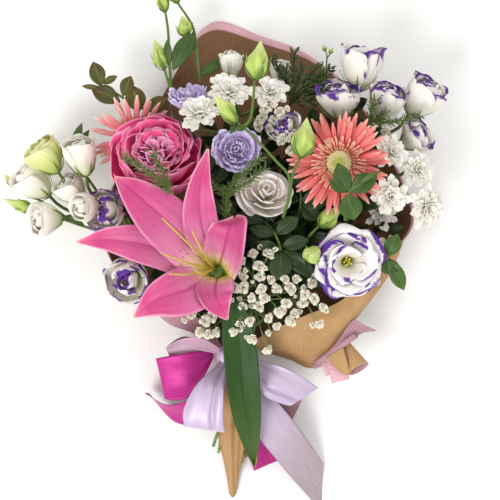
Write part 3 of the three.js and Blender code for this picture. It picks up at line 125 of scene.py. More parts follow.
class Shape:
    """A surface in the making: its points and faces, and each point's place on its petal and chance.

    The chance is a number from 0 to 1 that is the same all over a petal, by which its material varies.
    """

    def __init__(self):
        self.points, self.faces, self.places, self.chances = [], [], [], []

    def sheet(self, point, rows, columns, chance=0.5):
        """Adds a sheet over point(along, across), both from 0 to 1."""
        first = len(self.points)
        for i in range(rows + 1):
            for j in range(columns + 1):
                self.points.append(point(i / rows, j / columns))
                self.places.append((j / columns, i / rows))
        self.chances += [chance] * ((rows + 1) * (columns + 1))
        for i in range(rows):
            for j in range(columns):
                a = first + i * (columns + 1) + j
                self.faces.append((a, a + 1, a + columns + 2, a + columns + 1))

    def round(self, point, rows, sides, chance=0.5):
        """Adds a closed round form over point(along, turn); each of its ends is one point."""
        first = len(self.points)
        self.points.append(point(0, 0))
        self.places.append((0.5, 0))
        for i in range(1, rows):
            for k in range(sides):
                self.points.append(point(i / rows, TURN * k / sides))
                self.places.append((k / sides, i / rows))
        self.points.append(point(1, 0))
        self.places.append((0.5, 1))
        last = len(self.points) - 1
        self.chances += [chance] * (last + 1 - first)
        for k in range(sides):
            after = (k + 1) % sides
            self.faces.append((first, first + 1 + after, first + 1 + k))
            end = first + 1 + (rows - 2) * sides
            self.faces.append((last, end + k, end + after))
            for i in range(rows - 2):
                a = first + 1 + i * sides
                self.faces.append((a + k, a + after, a + sides + after, a + sides + k))

    def placed(self, matrix):
        """Moves the whole surface by a matrix."""
        self.points = [matrix @ p for p in self.points]
        return self

    def join(self, other):
        """Adds another surface to this one."""
        first = len(self.points)
        self.points += other.points
        self.places += other.places
        self.chances += other.chances
        self.faces += [tuple(corner + first for corner in face) for face in other.faces]

    def mesh(self, name):
        """The surface as a mesh, with the places as its UV map and the chances as an attribute."""
        made = bpy.data.meshes.new(name)
        made.from_pydata([(p + TIE / MM) * MM for p in self.points], [], self.faces)
        layer = made.uv_layers.new(name="petal")
        for loop in made.loops:
            layer.data[loop.index].uv = self.places[loop.vertex_index]
        chance = made.attributes.new("chance", "FLOAT", "POINT")
        chance.data.foreach_set("value", self.chances)
        made.shade_smooth()
        return made


def new_object(name, mesh, *materials):
    made = bpy.data.objects.new(name, mesh)
    bpy.context.scene.collection.objects.link(made)
    for material in materials:
        made.data.materials.append(material)
    return made


def thickened(obj, thickness):
    """Gives a sheet its thickness, half on each side of it."""
    wall = obj.modifiers.new("thickness", "SOLIDIFY")
    wall.thickness = thickness * MM
    wall.offset = 0
    return baked(obj)


def baked(obj):
    """Turns an object's modifiers into its plain mesh."""
    bpy.context.view_layer.update()
    evaluated = obj.evaluated_get(bpy.context.evaluated_depsgraph_get())
    mesh = bpy.data.meshes.new_from_object(evaluated)
    obj.modifiers.clear()
    obj.data = mesh
    return obj


def joined(name, objects):
    """One object made of several, each with its own material."""
    first = objects[0]
    if len(objects) > 1:
        with bpy.context.temp_override(active_object=first, selected_editable_objects=objects):
            bpy.ops.object.join()
    first.name = name
    return first


# The objects of each visual piece, by the name of the node that it is for.
PIECES = {}


def keep(node, made):
    """Adds an object to the visual piece of a node."""
    PIECES.setdefault(node, []).append(made)


def grow(node, shape, material, thickness=None):
    """Adds a surface to the visual piece of a node."""
    made = new_object(node + "_part", shape.mesh(node), material)
    if thickness:
        thickened(made, thickness)
    keep(node, made)


# ------------------------------------------------------------------ node trees


def add(tree, kind, inputs=None, **settings):
    """Adds a node with its settings, its values and its links."""
    made = tree.nodes.new(kind)
    for name, value in settings.items():
        setattr(made, name, value)
    for socket, value in (inputs or {}).items():
        if isinstance(value, bpy.types.NodeSocket):
            tree.links.new(value, made.inputs[socket])
        else:
            made.inputs[socket].default_value = value
    return made


def linear(colour):
    """An sRGB hex colour as linear red, green, blue and alpha."""
    parts = [int(colour[i : i + 2], 16) / 255 for i in (1, 3, 5)]
    return (*[c / 12.92 if c <= 0.04045 else ((c + 0.055) / 1.055) ** 2.4 for c in parts], 1)


def geometry_tree(name, inputs):
    """An empty geometry tree with named inputs, given as {name: socket type}, and its two end nodes."""
    tree = bpy.data.node_groups.new(name, "GeometryNodeTree")
    tree.interface.new_socket("Geometry", in_out="OUTPUT", socket_type="NodeSocketGeometry")
    tree.interface.new_socket("Geometry", in_out="INPUT", socket_type="NodeSocketGeometry")
    for label, kind in inputs.items():
        tree.interface.new_socket(label, in_out="INPUT", socket_type=kind)
    return tree, add(tree, "NodeGroupInput")


def end_tree(tree, geometry, material):
    """Ends a geometry tree with real faces in one material."""
    real = add(tree, "GeometryNodeRealizeInstances", {"Geometry": geometry})
    done = add(tree, "GeometryNodeSetMaterial", {"Geometry": real.outputs[0], "Material": material})
    add(tree, "NodeGroupOutput", {"Geometry": done.outputs[0]})


def grown(obj, tree, values):
    """Runs a geometry tree on an object with some values, and leaves the plain mesh."""
    step = obj.modifiers.new("tree", "NODES")
    step.node_group = tree
    for item in tree.interface.items_tree:
        if item.in_out == "INPUT" and item.name in values:
            step[item.identifier] = values[item.name]
    return baked(obj)


def math_node(tree, operation, *values):
    return add(tree, "ShaderNodeMath", dict(enumerate(values)), operation=operation).outputs[0]


def random_number(tree, seed, low=0.0, high=1.0):
    """A number for each point, drawn between two others."""
    return add(tree, "FunctionNodeRandomValue", {2: low, 3: high, "Seed": seed}).outputs[1]


def with_chance(tree, copies, seed):
    """The copies, each with a number from 0 to 1 of its own, which its material reads."""
    return add(tree, "GeometryNodeStoreNamedAttribute", {
        "Geometry": copies.outputs[0], "Name": "chance", "Value": random_number(tree, seed)},
        data_type="FLOAT", domain="INSTANCE").outputs[0]


def turned(tree, rotation, axis, angle):
    """A rotation, followed by a turn about one of the piece's own axes, 1 for Y or 2 for Z."""
    about = add(tree, "ShaderNodeCombineXYZ", {axis: angle}).outputs[0]
    return add(tree, "FunctionNodeRotateRotation", {"Rotation": rotation, "Rotate By": about},
               rotation_space="LOCAL").outputs[0]


def facing_along(tree, attribute):
    """The rotation that turns a piece's +Z to a named direction of its point."""
    ahead = add(tree, "GeometryNodeInputNamedAttribute", {"Name": attribute},
                data_type="FLOAT_VECTOR").outputs[0]
    return add(tree, "FunctionNodeAlignRotationToVector", {"Vector": ahead}, axis="Z").outputs[0]


def ring_of_petals_tree():
    """Petals side by side in a ring: the object's mesh is one petal that points along +X."""
    tree, start = geometry_tree("ring_of_petals", {
        "Count": "NodeSocketInt", "Radius": "NodeSocketFloat", "Rise": "NodeSocketFloat",
        "Tilt": "NodeSocketFloat", "Turn": "NodeSocketFloat", "Uneven": "NodeSocketFloat",
        "Seed": "NodeSocketInt", "Material": "NodeSocketMaterial"})
    index = add(tree, "GeometryNodeInputIndex").outputs[0]
    share = math_node(tree, "DIVIDE", index, start.outputs["Count"])
    angle = math_node(tree, "MULTIPLY_ADD", share, TURN, start.outputs["Turn"])
    place = add(tree, "ShaderNodeCombineXYZ", {
        0: math_node(tree, "MULTIPLY", math_node(tree, "COSINE", angle), start.outputs["Radius"]),
        1: math_node(tree, "MULTIPLY", math_node(tree, "SINE", angle), start.outputs["Radius"]),
        2: start.outputs["Rise"]})
    points = add(tree, "GeometryNodePoints", {"Count": start.outputs["Count"], "Position": place.outputs[0]})
    SHORTEST, LONGEST, SWING = 0.84, 1.06, 0.8
    shift = add(tree, "FunctionNodeRandomValue", {
        "Min": math_node(tree, "MULTIPLY", start.outputs["Uneven"], -1), "Max": start.outputs["Uneven"],
        "Seed": start.outputs["Seed"]})
    size = random_number(tree, start.outputs["Seed"], SHORTEST, LONGEST)
    tilt = math_node(tree, "ADD", start.outputs["Tilt"], shift.outputs[1])
    swing = math_node(tree, "MULTIPLY_ADD", shift.outputs[1], SWING, angle)
    turn = add(tree, "ShaderNodeCombineXYZ", {1: math_node(tree, "MULTIPLY", tilt, -1), 2: swing})
    copies = add(tree, "GeometryNodeInstanceOnPoints", {
        "Points": points.outputs[0], "Instance": start.outputs["Geometry"], "Rotation": turn.outputs[0],
        "Scale": size})
    end_tree(tree, with_chance(tree, copies, start.outputs["Seed"]), start.outputs["Material"])
    return tree


def copies_on_points_tree():
    """A piece on each point of the object's mesh, turned to the point's own facing and scaled by its size."""
    tree, start = geometry_tree("copies_on_points", {
        "Piece": "NodeSocketObject", "Seed": "NodeSocketInt", "Material": "NodeSocketMaterial"})
    piece = add(tree, "GeometryNodeObjectInfo", {"Object": start.outputs["Piece"]})
    size = add(tree, "GeometryNodeInputNamedAttribute", {"Name": "size"}, data_type="FLOAT")
    spin = random_number(tree, start.outputs["Seed"], 0.0, TURN)
    copies = add(tree, "GeometryNodeInstanceOnPoints", {
        "Points": start.outputs["Geometry"], "Instance": piece.outputs["Geometry"],
        "Rotation": turned(tree, facing_along(tree, "facing"), 2, spin), "Scale": size.outputs[0]})
    CHANCE_SEED = 3
    end_tree(tree, with_chance(tree, copies, CHANCE_SEED), start.outputs["Material"])
    return tree


def needles_along_tree():
    """Needles all round a line, each a golden angle on from the last; the object's mesh is the line."""
    tree, start = geometry_tree("needles_along", {
        "Needle": "NodeSocketObject", "Spacing": "NodeSocketFloat", "Lean": "NodeSocketFloat",
        "Material": "NodeSocketMaterial"})
    line = add(tree, "GeometryNodeMeshToCurve", {"Mesh": start.outputs["Geometry"]})
    even = add(tree, "GeometryNodeResampleCurve",
               {"Curve": line.outputs[0], "Length": start.outputs["Spacing"]},
               mode="LENGTH")
    tangent = add(tree, "GeometryNodeInputTangent").outputs[0]
    kept = add(tree, "GeometryNodeStoreNamedAttribute", {
        "Geometry": even.outputs[0], "Name": "ahead", "Value": tangent}, data_type="FLOAT_VECTOR",
               domain="POINT")
    points = add(tree, "GeometryNodeCurveToPoints", {"Curve": kept.outputs[0]}, mode="EVALUATED")
    UNEVEN, SHORTEST, LONGEST = 0.25, 0.75, 1.1
    UNEVEN_SEED, SIZE_SEED = 5, 9
    index = add(tree, "GeometryNodeInputIndex").outputs[0]
    uneven = random_number(tree, UNEVEN_SEED, -UNEVEN, UNEVEN)
    about = math_node(tree, "MULTIPLY_ADD", index, GOLDEN_ANGLE, uneven)
    lean = math_node(tree, "ADD", start.outputs["Lean"], uneven)
    leaning = turned(tree, turned(tree, facing_along(tree, "ahead"), 2, about), 1, lean)
    piece = add(tree, "GeometryNodeObjectInfo", {"Object": start.outputs["Needle"]})
    copies = add(tree, "GeometryNodeInstanceOnPoints", {
        "Points": points.outputs[0], "Instance": piece.outputs["Geometry"], "Rotation": leaning,
        "Scale": random_number(tree, SIZE_SEED, SHORTEST, LONGEST)})
    end_tree(tree, copies.outputs[0], start.outputs["Material"])
    return tree


def stalks_tree():
    """Round stalks along the lines of the object's mesh, as thick as the points' own girth says."""
    tree, start = geometry_tree("stalks_along", {"Sides": "NodeSocketInt", "Material": "NodeSocketMaterial"})
    line = add(tree, "GeometryNodeMeshToCurve", {"Mesh": start.outputs["Geometry"]})
    girth = add(tree, "GeometryNodeInputNamedAttribute", {"Name": "girth"}, data_type="FLOAT")
    sized = add(tree, "GeometryNodeSetCurveRadius", {"Curve": line.outputs[0], "Radius": girth.outputs[0]})
    profile = add(tree, "GeometryNodeCurvePrimitiveCircle",
                  {"Resolution": start.outputs["Sides"], "Radius": 1.0})
    swept = add(tree, "GeometryNodeCurveToMesh", {
        "Curve": sized.outputs[0], "Profile Curve": profile.outputs[0], "Fill Caps": True})
    if "Scale" in swept.inputs:
        tree.links.new(add(tree, "GeometryNodeInputRadius").outputs[0], swept.inputs["Scale"])
    smooth = add(tree, "GeometryNodeSetShadeSmooth", {"Geometry": swept.outputs[0]})
    end_tree(tree, smooth.outputs[0], start.outputs["Material"])
    return tree


RING_OF_PETALS = ring_of_petals_tree()
COPIES_ON_POINTS = copies_on_points_tree()
NEEDLES_ALONG = needles_along_tree()
STALKS_ALONG = stalks_tree()


def line_mesh(name, lines, girths=None):
    """A mesh of open lines of points, with the girth of each point."""
    points, edges, thick = [], [], []
    for k, line in enumerate(lines):
        first = len(points)
        points += [(p + TIE / MM) * MM for p in line]
        edges += [(first + i, first + i + 1) for i in range(len(line) - 1)]
        widths = girths[k] if girths else [1]
        thick += [spline(widths, i / (len(line) - 1)) * MM if len(widths) > 1 else widths[0] * MM
                  for i in range(len(line))]
    made = bpy.data.meshes.new(name)
    made.from_pydata(points, edges, [])
    made.attributes.new("girth", "FLOAT", "POINT").data.foreach_set("value", thick)
    return made


def grow_with(node, mesh, tree, values):
    """Runs a geometry tree on a mesh, and adds what it makes to the visual piece of a node."""
    keep(node, grown(new_object(node + "_grown", mesh), tree, values))


STALK_STEPS, NEEDLE_STEPS = 12, 20


def grow_stalks(node, lines, girths, material, sides=8):
    """Adds round stalks along smooth lines through some places; girths are radii from start to end."""
    smooth = [smooth_line(line, STALK_STEPS) for line in lines]
    grow_with(node, line_mesh(node, smooth, girths), STALKS_ALONG, {"Sides": sides, "Material": material})


def grow_needles(node, lines, piece, spacing, lean, material):
    """Adds small pieces all round some lines, at a spacing along them, leaning out by some degrees."""
    grow_with(node, line_mesh(node, lines), NEEDLES_ALONG, {
        "Needle": piece, "Spacing": spacing * MM, "Lean": math.radians(lean), "Material": material})


def grow_copies(node, piece, spots, material, seed):
    """Adds a small piece at each spot, given as (place, facing, size)."""
    mesh = bpy.data.meshes.new(node + "_spots")
    mesh.from_pydata([(place + TIE / MM) * MM for place, _, _ in spots], [], [])
    facings = [c for _, facing, _ in spots for c in facing.normalized()]
    mesh.attributes.new("facing", "FLOAT_VECTOR", "POINT").data.foreach_set("vector", facings)
    mesh.attributes.new("size", "FLOAT", "POINT").data.foreach_set("value", [size for _, _, size in spots])
    grow_with(node, mesh, COPIES_ON_POINTS, {"Piece": piece, "Seed": seed, "Material": material})


TEMPLATES = []


def template(name, shape, thickness):
    """A small piece round the origin, to be copied; it is deleted at the end."""
    made = new_object(name, shape.placed(FROM_TIE).mesh(name))
    thickened(made, thickness)
    made.hide_render = True
    TEMPLATES.append(made)
    return made


# ------------------------------------------------------------------ materials


def new_material(name, roughness, **constants):
    """A material's tree with its shader; the constants are set on the shader's own sockets."""
    material = bpy.data.materials.new(name)
    material.use_nodes = True
    tree = material.node_tree
    shader = tree.nodes["Principled BSDF"]
    shader.inputs["Roughness"].default_value = roughness
    for socket, value in constants.items():
        shader.inputs[socket.replace("_", " ")].default_value = value
    return material, tree, shader


def mix(tree, share, low, high, blend="MIX"):
    """A colour between two, or one laid over the other."""
    made = add(tree, "ShaderNodeMix", data_type="RGBA", blend_type=blend)
    for socket, value in ((0, share), (6, low), (7, high)):
        if isinstance(value, bpy.types.NodeSocket):
            tree.links.new(value, made.inputs[socket])
        else:
            made.inputs[socket].default_value = linear(value) if isinstance(value, str) else value
    return made.outputs[2]


def ramp(tree, value, stops):
    """A colour that runs through some stops, given as (place, hex colour)."""
    made = add(tree, "ShaderNodeValToRGB", {"Fac": value})
    band = made.color_ramp
    while len(band.elements) < len(stops):
        band.elements.new(0.5)
    for element, (place, colour) in zip(band.elements, stops):
        element.position = place
        element.color = linear(colour)
    return made.outputs[0]


def smooth_step(tree, value, low, high):
    """A smooth step from 0 to 1 while a value goes from low to high."""
    made = add(tree, "ShaderNodeMapRange", {"Value": value, "From Min": low, "From Max": high},
               interpolation_type="SMOOTHSTEP")
    return made.outputs[0]


def faded_step(tree, value, low, high, strength):
    """A smooth step from 0 to some strength, while a value goes from low to high."""
    return math_node(tree, "MULTIPLY", smooth_step(tree, value, low, high), strength)


def grain(tree, at, scale=1.0, detail=2.0, roughness=0.5):
    """A soft noise from 0 to 1 over some coordinates."""
    return add(tree, "ShaderNodeTexNoise", {
        "Vector": at, "Scale": scale, "Detail": detail, "Roughness": roughness}).outputs[0]


def coordinates(tree, *parts):
    """Coordinates made of some values, each given as (value, scale)."""
    values = [math_node(tree, "MULTIPLY", value, float(scale)) for value, scale in parts]
    return add(tree, "ShaderNodeCombineXYZ", dict(enumerate(values))).outputs[0]


def drawn_out(tree, scale):
    """The object's own coordinates times a scale for each axis: a small one draws a pattern out along it."""
    at = add(tree, "ShaderNodeTexCoord").outputs["Object"]
    return add(tree, "ShaderNodeMapping", {"Vector": at, "Scale": scale}).outputs[0]


def surface(tree, shader, colour, height, strength, depth):
    """Gives a shader its colour and a relief of some depth."""
    tree.links.new(colour, shader.inputs["Base Color"])
    raised = add(tree, "ShaderNodeBump", {"Height": height, "Strength": strength, "Distance": depth * MM})
    tree.links.new(raised.outputs[0], shader.inputs["Normal"])


def on_petal(tree):
    """The place on a petal: across from 0 to 1, along from root to tip, and how near a side edge is."""
    uv = add(tree, "ShaderNodeUVMap", uv_map="petal")
    parts = add(tree, "ShaderNodeSeparateXYZ", {0: uv.outputs[0]})
    across, along = parts.outputs[0], parts.outputs[1]
    side = math_node(tree, "ABSOLUTE", math_node(tree, "MULTIPLY_ADD", across, 2.0, -1.0))
    return across, along, side


# How often the colour's soft clouds and the throat's specks come on a petal, across and along it.
CLOUD_SCALE, SPECKS_ACROSS, SPECKS_ALONG = 2.6, 12, 30
# How fast the veins change along a petal, how far apart two petals' clouds lie, and how deep the veins are.
VEIN_CHANGE, CHANCE_STRIDE, VEIN_DEPTH = 2.2, 40, 0.4


def petal_material(name, along, edge=None, veins=0.12, vein_count=26, roughness=0.5, bump=0.25, tint=0.12,
                   rib=None, shade="#7a3b48", round_tip=True, specks=None, **constants):
    """Soft tissue of petals and leaves: colour runs from root to tip, and fine veins darken and emboss it.

    edge is (colour, from, to, broken): a rim colour, where it begins and is full, and how streaky its border
    is. rib is (colour, half width, strength): a darker or lighter midrib. tint is how much petals differ in
    depth. specks is (colour, from, to): small spots between two places along the petal.
    """
    material, tree, shader = new_material(name, roughness, **constants)
    across, length, side = on_petal(tree)
    colour = ramp(tree, length, along)
    chance = add(tree, "ShaderNodeAttribute", attribute_name="chance").outputs["Fac"]
    streaks = grain(tree, coordinates(tree, (across, vein_count), (length, VEIN_CHANGE)), detail=3.0,
                    roughness=0.6)
    clouds = grain(tree, coordinates(
        tree, (across, CLOUD_SCALE), (length, CLOUD_SCALE), (chance, CHANCE_STRIDE)), detail=1.0)
    if edge:
        rim_colour, low, high, broken = edge
        rim = math_node(tree, "MULTIPLY", side, math_node(tree, "MULTIPLY_ADD", length, 0.45, 0.55))
        if round_tip:
            rim = math_node(tree, "MAXIMUM", rim, length)
        uneven = math_node(tree, "ADD", math_node(tree, "MULTIPLY", streaks, 0.4), clouds)
        shifted = math_node(tree, "MULTIPLY_ADD", chance, broken * 0.22, rim)
        wavering = math_node(tree, "MULTIPLY_ADD", math_node(tree, "SUBTRACT", uneven, 0.7), broken, shifted)
        colour = mix(tree, smooth_step(tree, wavering, low, high), colour, rim_colour)
    if rib:
        rib_colour, half, strength = rib
        colour = mix(tree, faded_step(tree, side, half, 0.0, strength), colour, rib_colour)
    if specks:
        speck_colour, low, high = specks
        grid = coordinates(tree, (across, SPECKS_ACROSS), (length, SPECKS_ALONG))
        spots = add(tree, "ShaderNodeTexVoronoi", {"Vector": grid, "Scale": 1.0}).outputs["Distance"]
        begun, ended = smooth_step(tree, length, low, low + 0.04), smooth_step(tree, length, high, low)
        dots = math_node(tree, "MULTIPLY", smooth_step(tree, spots, 0.3, 0.16),
                         math_node(tree, "MULTIPLY", begun, ended))
        colour = mix(tree, math_node(tree, "MULTIPLY", dots, 0.8), colour, speck_colour)
    veined = mix(tree, faded_step(tree, streaks, 0.35, 0.65, veins), colour, shade, "MULTIPLY")
    depth = math_node(tree, "MULTIPLY_ADD", chance, tint, 1 - tint / 2)
    value = math_node(tree, "ADD", depth, math_node(tree, "MULTIPLY_ADD", clouds, 0.16, -0.08))
    final = add(tree, "ShaderNodeHueSaturation", {"Color": veined, "Value": value}).outputs[0]
    surface(tree, shader, final, streaks, bump, VEIN_DEPTH)
    return material


# Petals pass a little light, so they glow softly from under their surface: faintly in most, more in the
# thick blush and rose petals, where folds in the shade stay warm.
SOFT = {"Subsurface_Weight": 0.12, "Subsurface_Scale": 2.5 * MM, "Specular_IOR_Level": 0.3}
WHITE_SOFT = {"Subsurface_Weight": 0.15, "Subsurface_Scale": 1.5 * MM, "Subsurface_Radius": (1.0, 0.85, 0.7),
              "Specular_IOR_Level": 0.15}
BLUSH_SOFT = {**WHITE_SOFT, "Subsurface_Weight": 0.45, "Subsurface_Scale": 4 * MM}
ROSE_SOFT = {"Subsurface_Weight": 0.4, "Subsurface_Scale": 4 * MM, "Subsurface_Radius": (1.0, 0.4, 0.6),
             "Specular_IOR_Level": 0.25}

# Oriental lily tepals: pink with a deeper midrib, pale rims, yellow tips and a yellow-green throat.
LILY_PETAL = petal_material(
    "lily tepal",
    [(0, "#55661c"), (0.22, "#9aa63c"), (0.28, "#d2cc68"), (0.34, "#e6c2ac"), (0.41, "#d988ac"),
                   (0.58, "#c4568a"), (0.85, "#c8467c"), (0.97, "#da6a92"), (0.99, "#e2c26a"),
                   (1, "#e8e06a")],
    edge=("#f6bcd6", 0.7, 1.03, 0.14), veins=0.22, vein_count=34, rib=("#b03474", 0.16, 0.75),
    roughness=0.42,
    tint=0.06, bump=0.3, shade="#b84a8c", round_tip=False, specks=("#a8305c", 0.3, 0.5), **SOFT)
# Garden rose: hot pink guard petals with lighter rims, dusty folded petals inside.
ROSE_PETAL = petal_material(
    "rose petal", [(0, "#e03a76"), (0.4, "#f04c86"), (0.8, "#f65f96"), (1, "#f98eb6")],
    edge=("#faa6c6", 0.93, 1.03, 0.1), veins=0.12, roughness=0.5, tint=0.16, shade="#c83070", **ROSE_SOFT)
ROSE_HEART = petal_material(
    "rose heart petal", [(0, "#d85e94"), (0.5, "#e67cac"), (1, "#f09cc0")],
    edge=("#f2b2d0", 0.93, 1.03, 0.1), veins=0.15,
    roughness=0.6, tint=0.25, shade="#b85890", **ROSE_SOFT)
# Gerbera rays: coral straps with parallel grooves and paler tips.
GERBERA_RAY = petal_material(
    "gerbera ray", [(0, "#d65c54"), (0.4, "#ef706e"), (0.82, "#f38a84"), (1, "#fac6b4")], veins=0.35,
    vein_count=9,
    roughness=0.45, bump=0.7, tint=0.3, shade="#bc4440", **SOFT)
# The back gerbera: paler rays that end in cream.
GERBERA_BACK_RAY = petal_material(
    "pale gerbera ray", [(0, "#d26e70"), (0.6, "#e38a8c"), (0.84, "#eeaea4"), (1, "#f4e3cc")], veins=0.3,
    vein_count=9,
    roughness=0.5, bump=0.6, tint=0.25, shade="#b45a58", **SOFT)
# Short inner rays of the gerbera: coral at the root, peach and cream at the tip.
GERBERA_SHORT = petal_material(
    "short gerbera ray", [(0, "#d8605a"), (0.45, "#ee9a86"), (1, "#f8d9bc")], veins=0.2, vein_count=6,
    roughness=0.5,
    tint=0.25, shade="#c06a54", **SOFT)
GERBERA_DISC = petal_material(
    "gerbera disc floret", [(0, "#b8a258"), (0.6, "#e4d094"), (1, "#f2e6c0")], veins=0.1, roughness=0.6,
    tint=0.3, **SOFT)
GERBERA_HEART = petal_material(
    "gerbera heart floret", [(0, "#8f9a35"), (0.6, "#c0c04a"), (1, "#dcd980")], veins=0.1, roughness=0.6,
    tint=0.3, **SOFT)
# Spray chrysanthemum: white cupped petals, faintly green at the root.
MUM_PETAL = petal_material(
    "mum petal", [(0, "#d5d8a4"), (0.25, "#ece8dc"), (1, "#f4f0e8")], veins=0.06, vein_count=8,
    roughness=0.6,
    tint=0.06, shade="#cfc9b8", **WHITE_SOFT)
# Lisianthus: white with purple brushed over its rims in broad streaks, greenish at the root.
PICOTEE_PETAL = petal_material(
    "picotee lisianthus petal", [(0, "#b2c276"), (0.2, "#dedfbe"), (0.45, "#ece6da"), (1, "#f0ebe2")],
    edge=("#60348f", 0.93, 1.04, 0.9), veins=0.08, roughness=0.5, tint=0.05, shade="#c4b8c4", **WHITE_SOFT)
OPEN_PICOTEE_PETAL = petal_material(
    "open picotee lisianthus petal", [(0, "#a9bf5c"), (0.14, "#dfdec0"), (0.4, "#ece7de"), (1, "#f0ecea")],
    edge=("#603492", 0.96, 1.05, 1.0), veins=0.08, roughness=0.5, tint=0.05, shade="#c4b6c6", **WHITE_SOFT)
PISTIL = petal_material(
    "lisianthus pistil", [(0, "#9aa83a"), (0.6, "#d8c83e"), (1, "#f0dc58")], veins=0.1, roughness=0.55,
    tint=0.2, **SOFT)
WHITE_PETAL = petal_material(
    "white lisianthus petal", [(0, "#a8bb6c"), (0.28, "#d8dbb8"), (0.6, "#e9e3d6"), (1, "#efeae0")],
    veins=0.08,
    roughness=0.5, tint=0.06, shade="#c0bca6", **WHITE_SOFT)
GREENISH_PETAL = petal_material(
    "opening lisianthus petal", [(0, "#9db354"), (0.5, "#cdd480"), (1, "#e4e2ac")], veins=0.16,
    roughness=0.5,
    tint=0.08, shade="#8c9a58", **SOFT)
LAVENDER_PETAL = petal_material(
    "lavender lisianthus petal", [(0, "#b8a2cc"), (0.5, "#c9b6de"), (0.85, "#d4c4e8"), (1, "#e4d8f2")],
    edge=("#e6def4", 0.93, 1.03, 0.1), veins=0.1, roughness=0.55, tint=0.14, shade="#a898cc", **WHITE_SOFT)
CREAM_PETAL = petal_material(
    "blush lisianthus petal", [(0, "#b9c07a"), (0.3, "#ebe2ce"), (0.6, "#f6e9e3"), (1, "#fbf2ee")],
    veins=0.06,
    roughness=0.55, tint=0.08, shade="#c9b4b0", **BLUSH_SOFT)
# Lisianthus buds: lime, tightly twisted, with green veins.
BUD_PETAL = petal_material(
    "lisianthus bud petal", [(0, "#92aa48"), (0.5, "#bccf6e"), (1, "#d9df9a")], veins=0.3, vein_count=16,
    roughness=0.45, bump=0.5, tint=0.12, shade="#7f9440", **SOFT)
# Leaf blades: waxy, with a pale midrib and finer side veins.
LEAF_BLADE = petal_material(
    "leaf blade", [(0, "#486426"), (0.5, "#3c5a1e"), (1, "#4a6420")], veins=0.4, vein_count=18,
    rib=("#74904a", 0.07, 0.6), roughness=0.5, bump=0.5, tint=0.5, shade="#24380f", Specular_IOR_Level=0.35)
DARK_LEAF_BLADE = petal_material(
    "dark leaf blade", [(0, "#2a4016"), (0.5, "#233a12"), (1, "#2f4818")], veins=0.45, vein_count=18,
    rib=("#52703a", 0.07, 0.6), roughness=0.45, bump=0.5, tint=0.6, shade="#12220a", Specular_IOR_Level=0.35)
OLIVE_LEAF = petal_material(
    "olive leaf blade", [(0, "#5c5e26"), (0.5, "#55571f"), (1, "#664f26")], edge=("#6b4a2a", 0.86, 1.0, 0.5),
    veins=0.4,
    vein_count=14, rib=("#8a9050", 0.09, 0.7), roughness=0.55, bump=0.4, tint=0.5, shade="#343a16",
    Specular_IOR_Level=0.3)
# Lily leaf: long and glossy with parallel veins and a thin yellow-green rim.
LILY_LEAF = petal_material(
    "lily leaf blade", [(0, "#2a4c18"), (0.5, "#264a14"), (1, "#45641f")],
    edge=("#93a046", 0.95, 0.985, 0.02),
    veins=0.28, vein_count=24, roughness=0.5, bump=0.4, tint=0.0, rib=("#1c3a10", 0.04, 0.6),
    shade="#1c3a0c",
    round_tip=False, Specular_IOR_Level=0.3)
STALK = petal_material(
    "green stalk", [(0, "#5f7c32"), (1, "#82a04c")], veins=0.3, vein_count=6, roughness=0.5, bump=0.3,
    tint=0.2,
    shade="#42592a", Specular_IOR_Level=0.35)
PALE_STALK = petal_material(
    "gypsophila stalk", [(0, "#7e9650"), (1, "#a4b878")], veins=0.2, vein_count=4, roughness=0.55, bump=0.2,
    tint=0.2,
    shade="#5c7438", Specular_IOR_Level=0.3)
DARK_STALK = petal_material(
    "dark stalk", [(0, "#2c3c18"), (1, "#3a4e20")], veins=0.3, vein_count=6, roughness=0.6, bump=0.3,
    tint=0.2,
    shade="#1a2810", Specular_IOR_Level=0.25)
NEEDLE = petal_material(
    "conifer needle", [(0, "#46552a"), (1, "#6c7c48")], veins=0.1, roughness=0.55, tint=0.6, shade="#2c3a1c",
    Specular_IOR_Level=0.3)
LEAFLET = petal_material(
    "dark leaflet", [(0, "#3a4e20"), (1, "#55692c")], veins=0.2, vein_count=6, roughness=0.5, tint=0.7,
    shade="#22300f",
    Specular_IOR_Level=0.35)
FLORET_PETAL = petal_material(
    "gypsophila petal", [(0, "#c9cc92"), (0.25, "#e9e3cc"), (1, "#f4eede")], veins=0.04, roughness=0.6,
    tint=0.1,
    shade="#d2c8ae", **WHITE_SOFT)
FILAMENT = petal_material(
    "lily filament", [(0, "#c9bc50"), (0.4, "#e2bc62"), (1, "#dca850")], veins=0.1, roughness=0.45, tint=0.1,
    **SOFT)


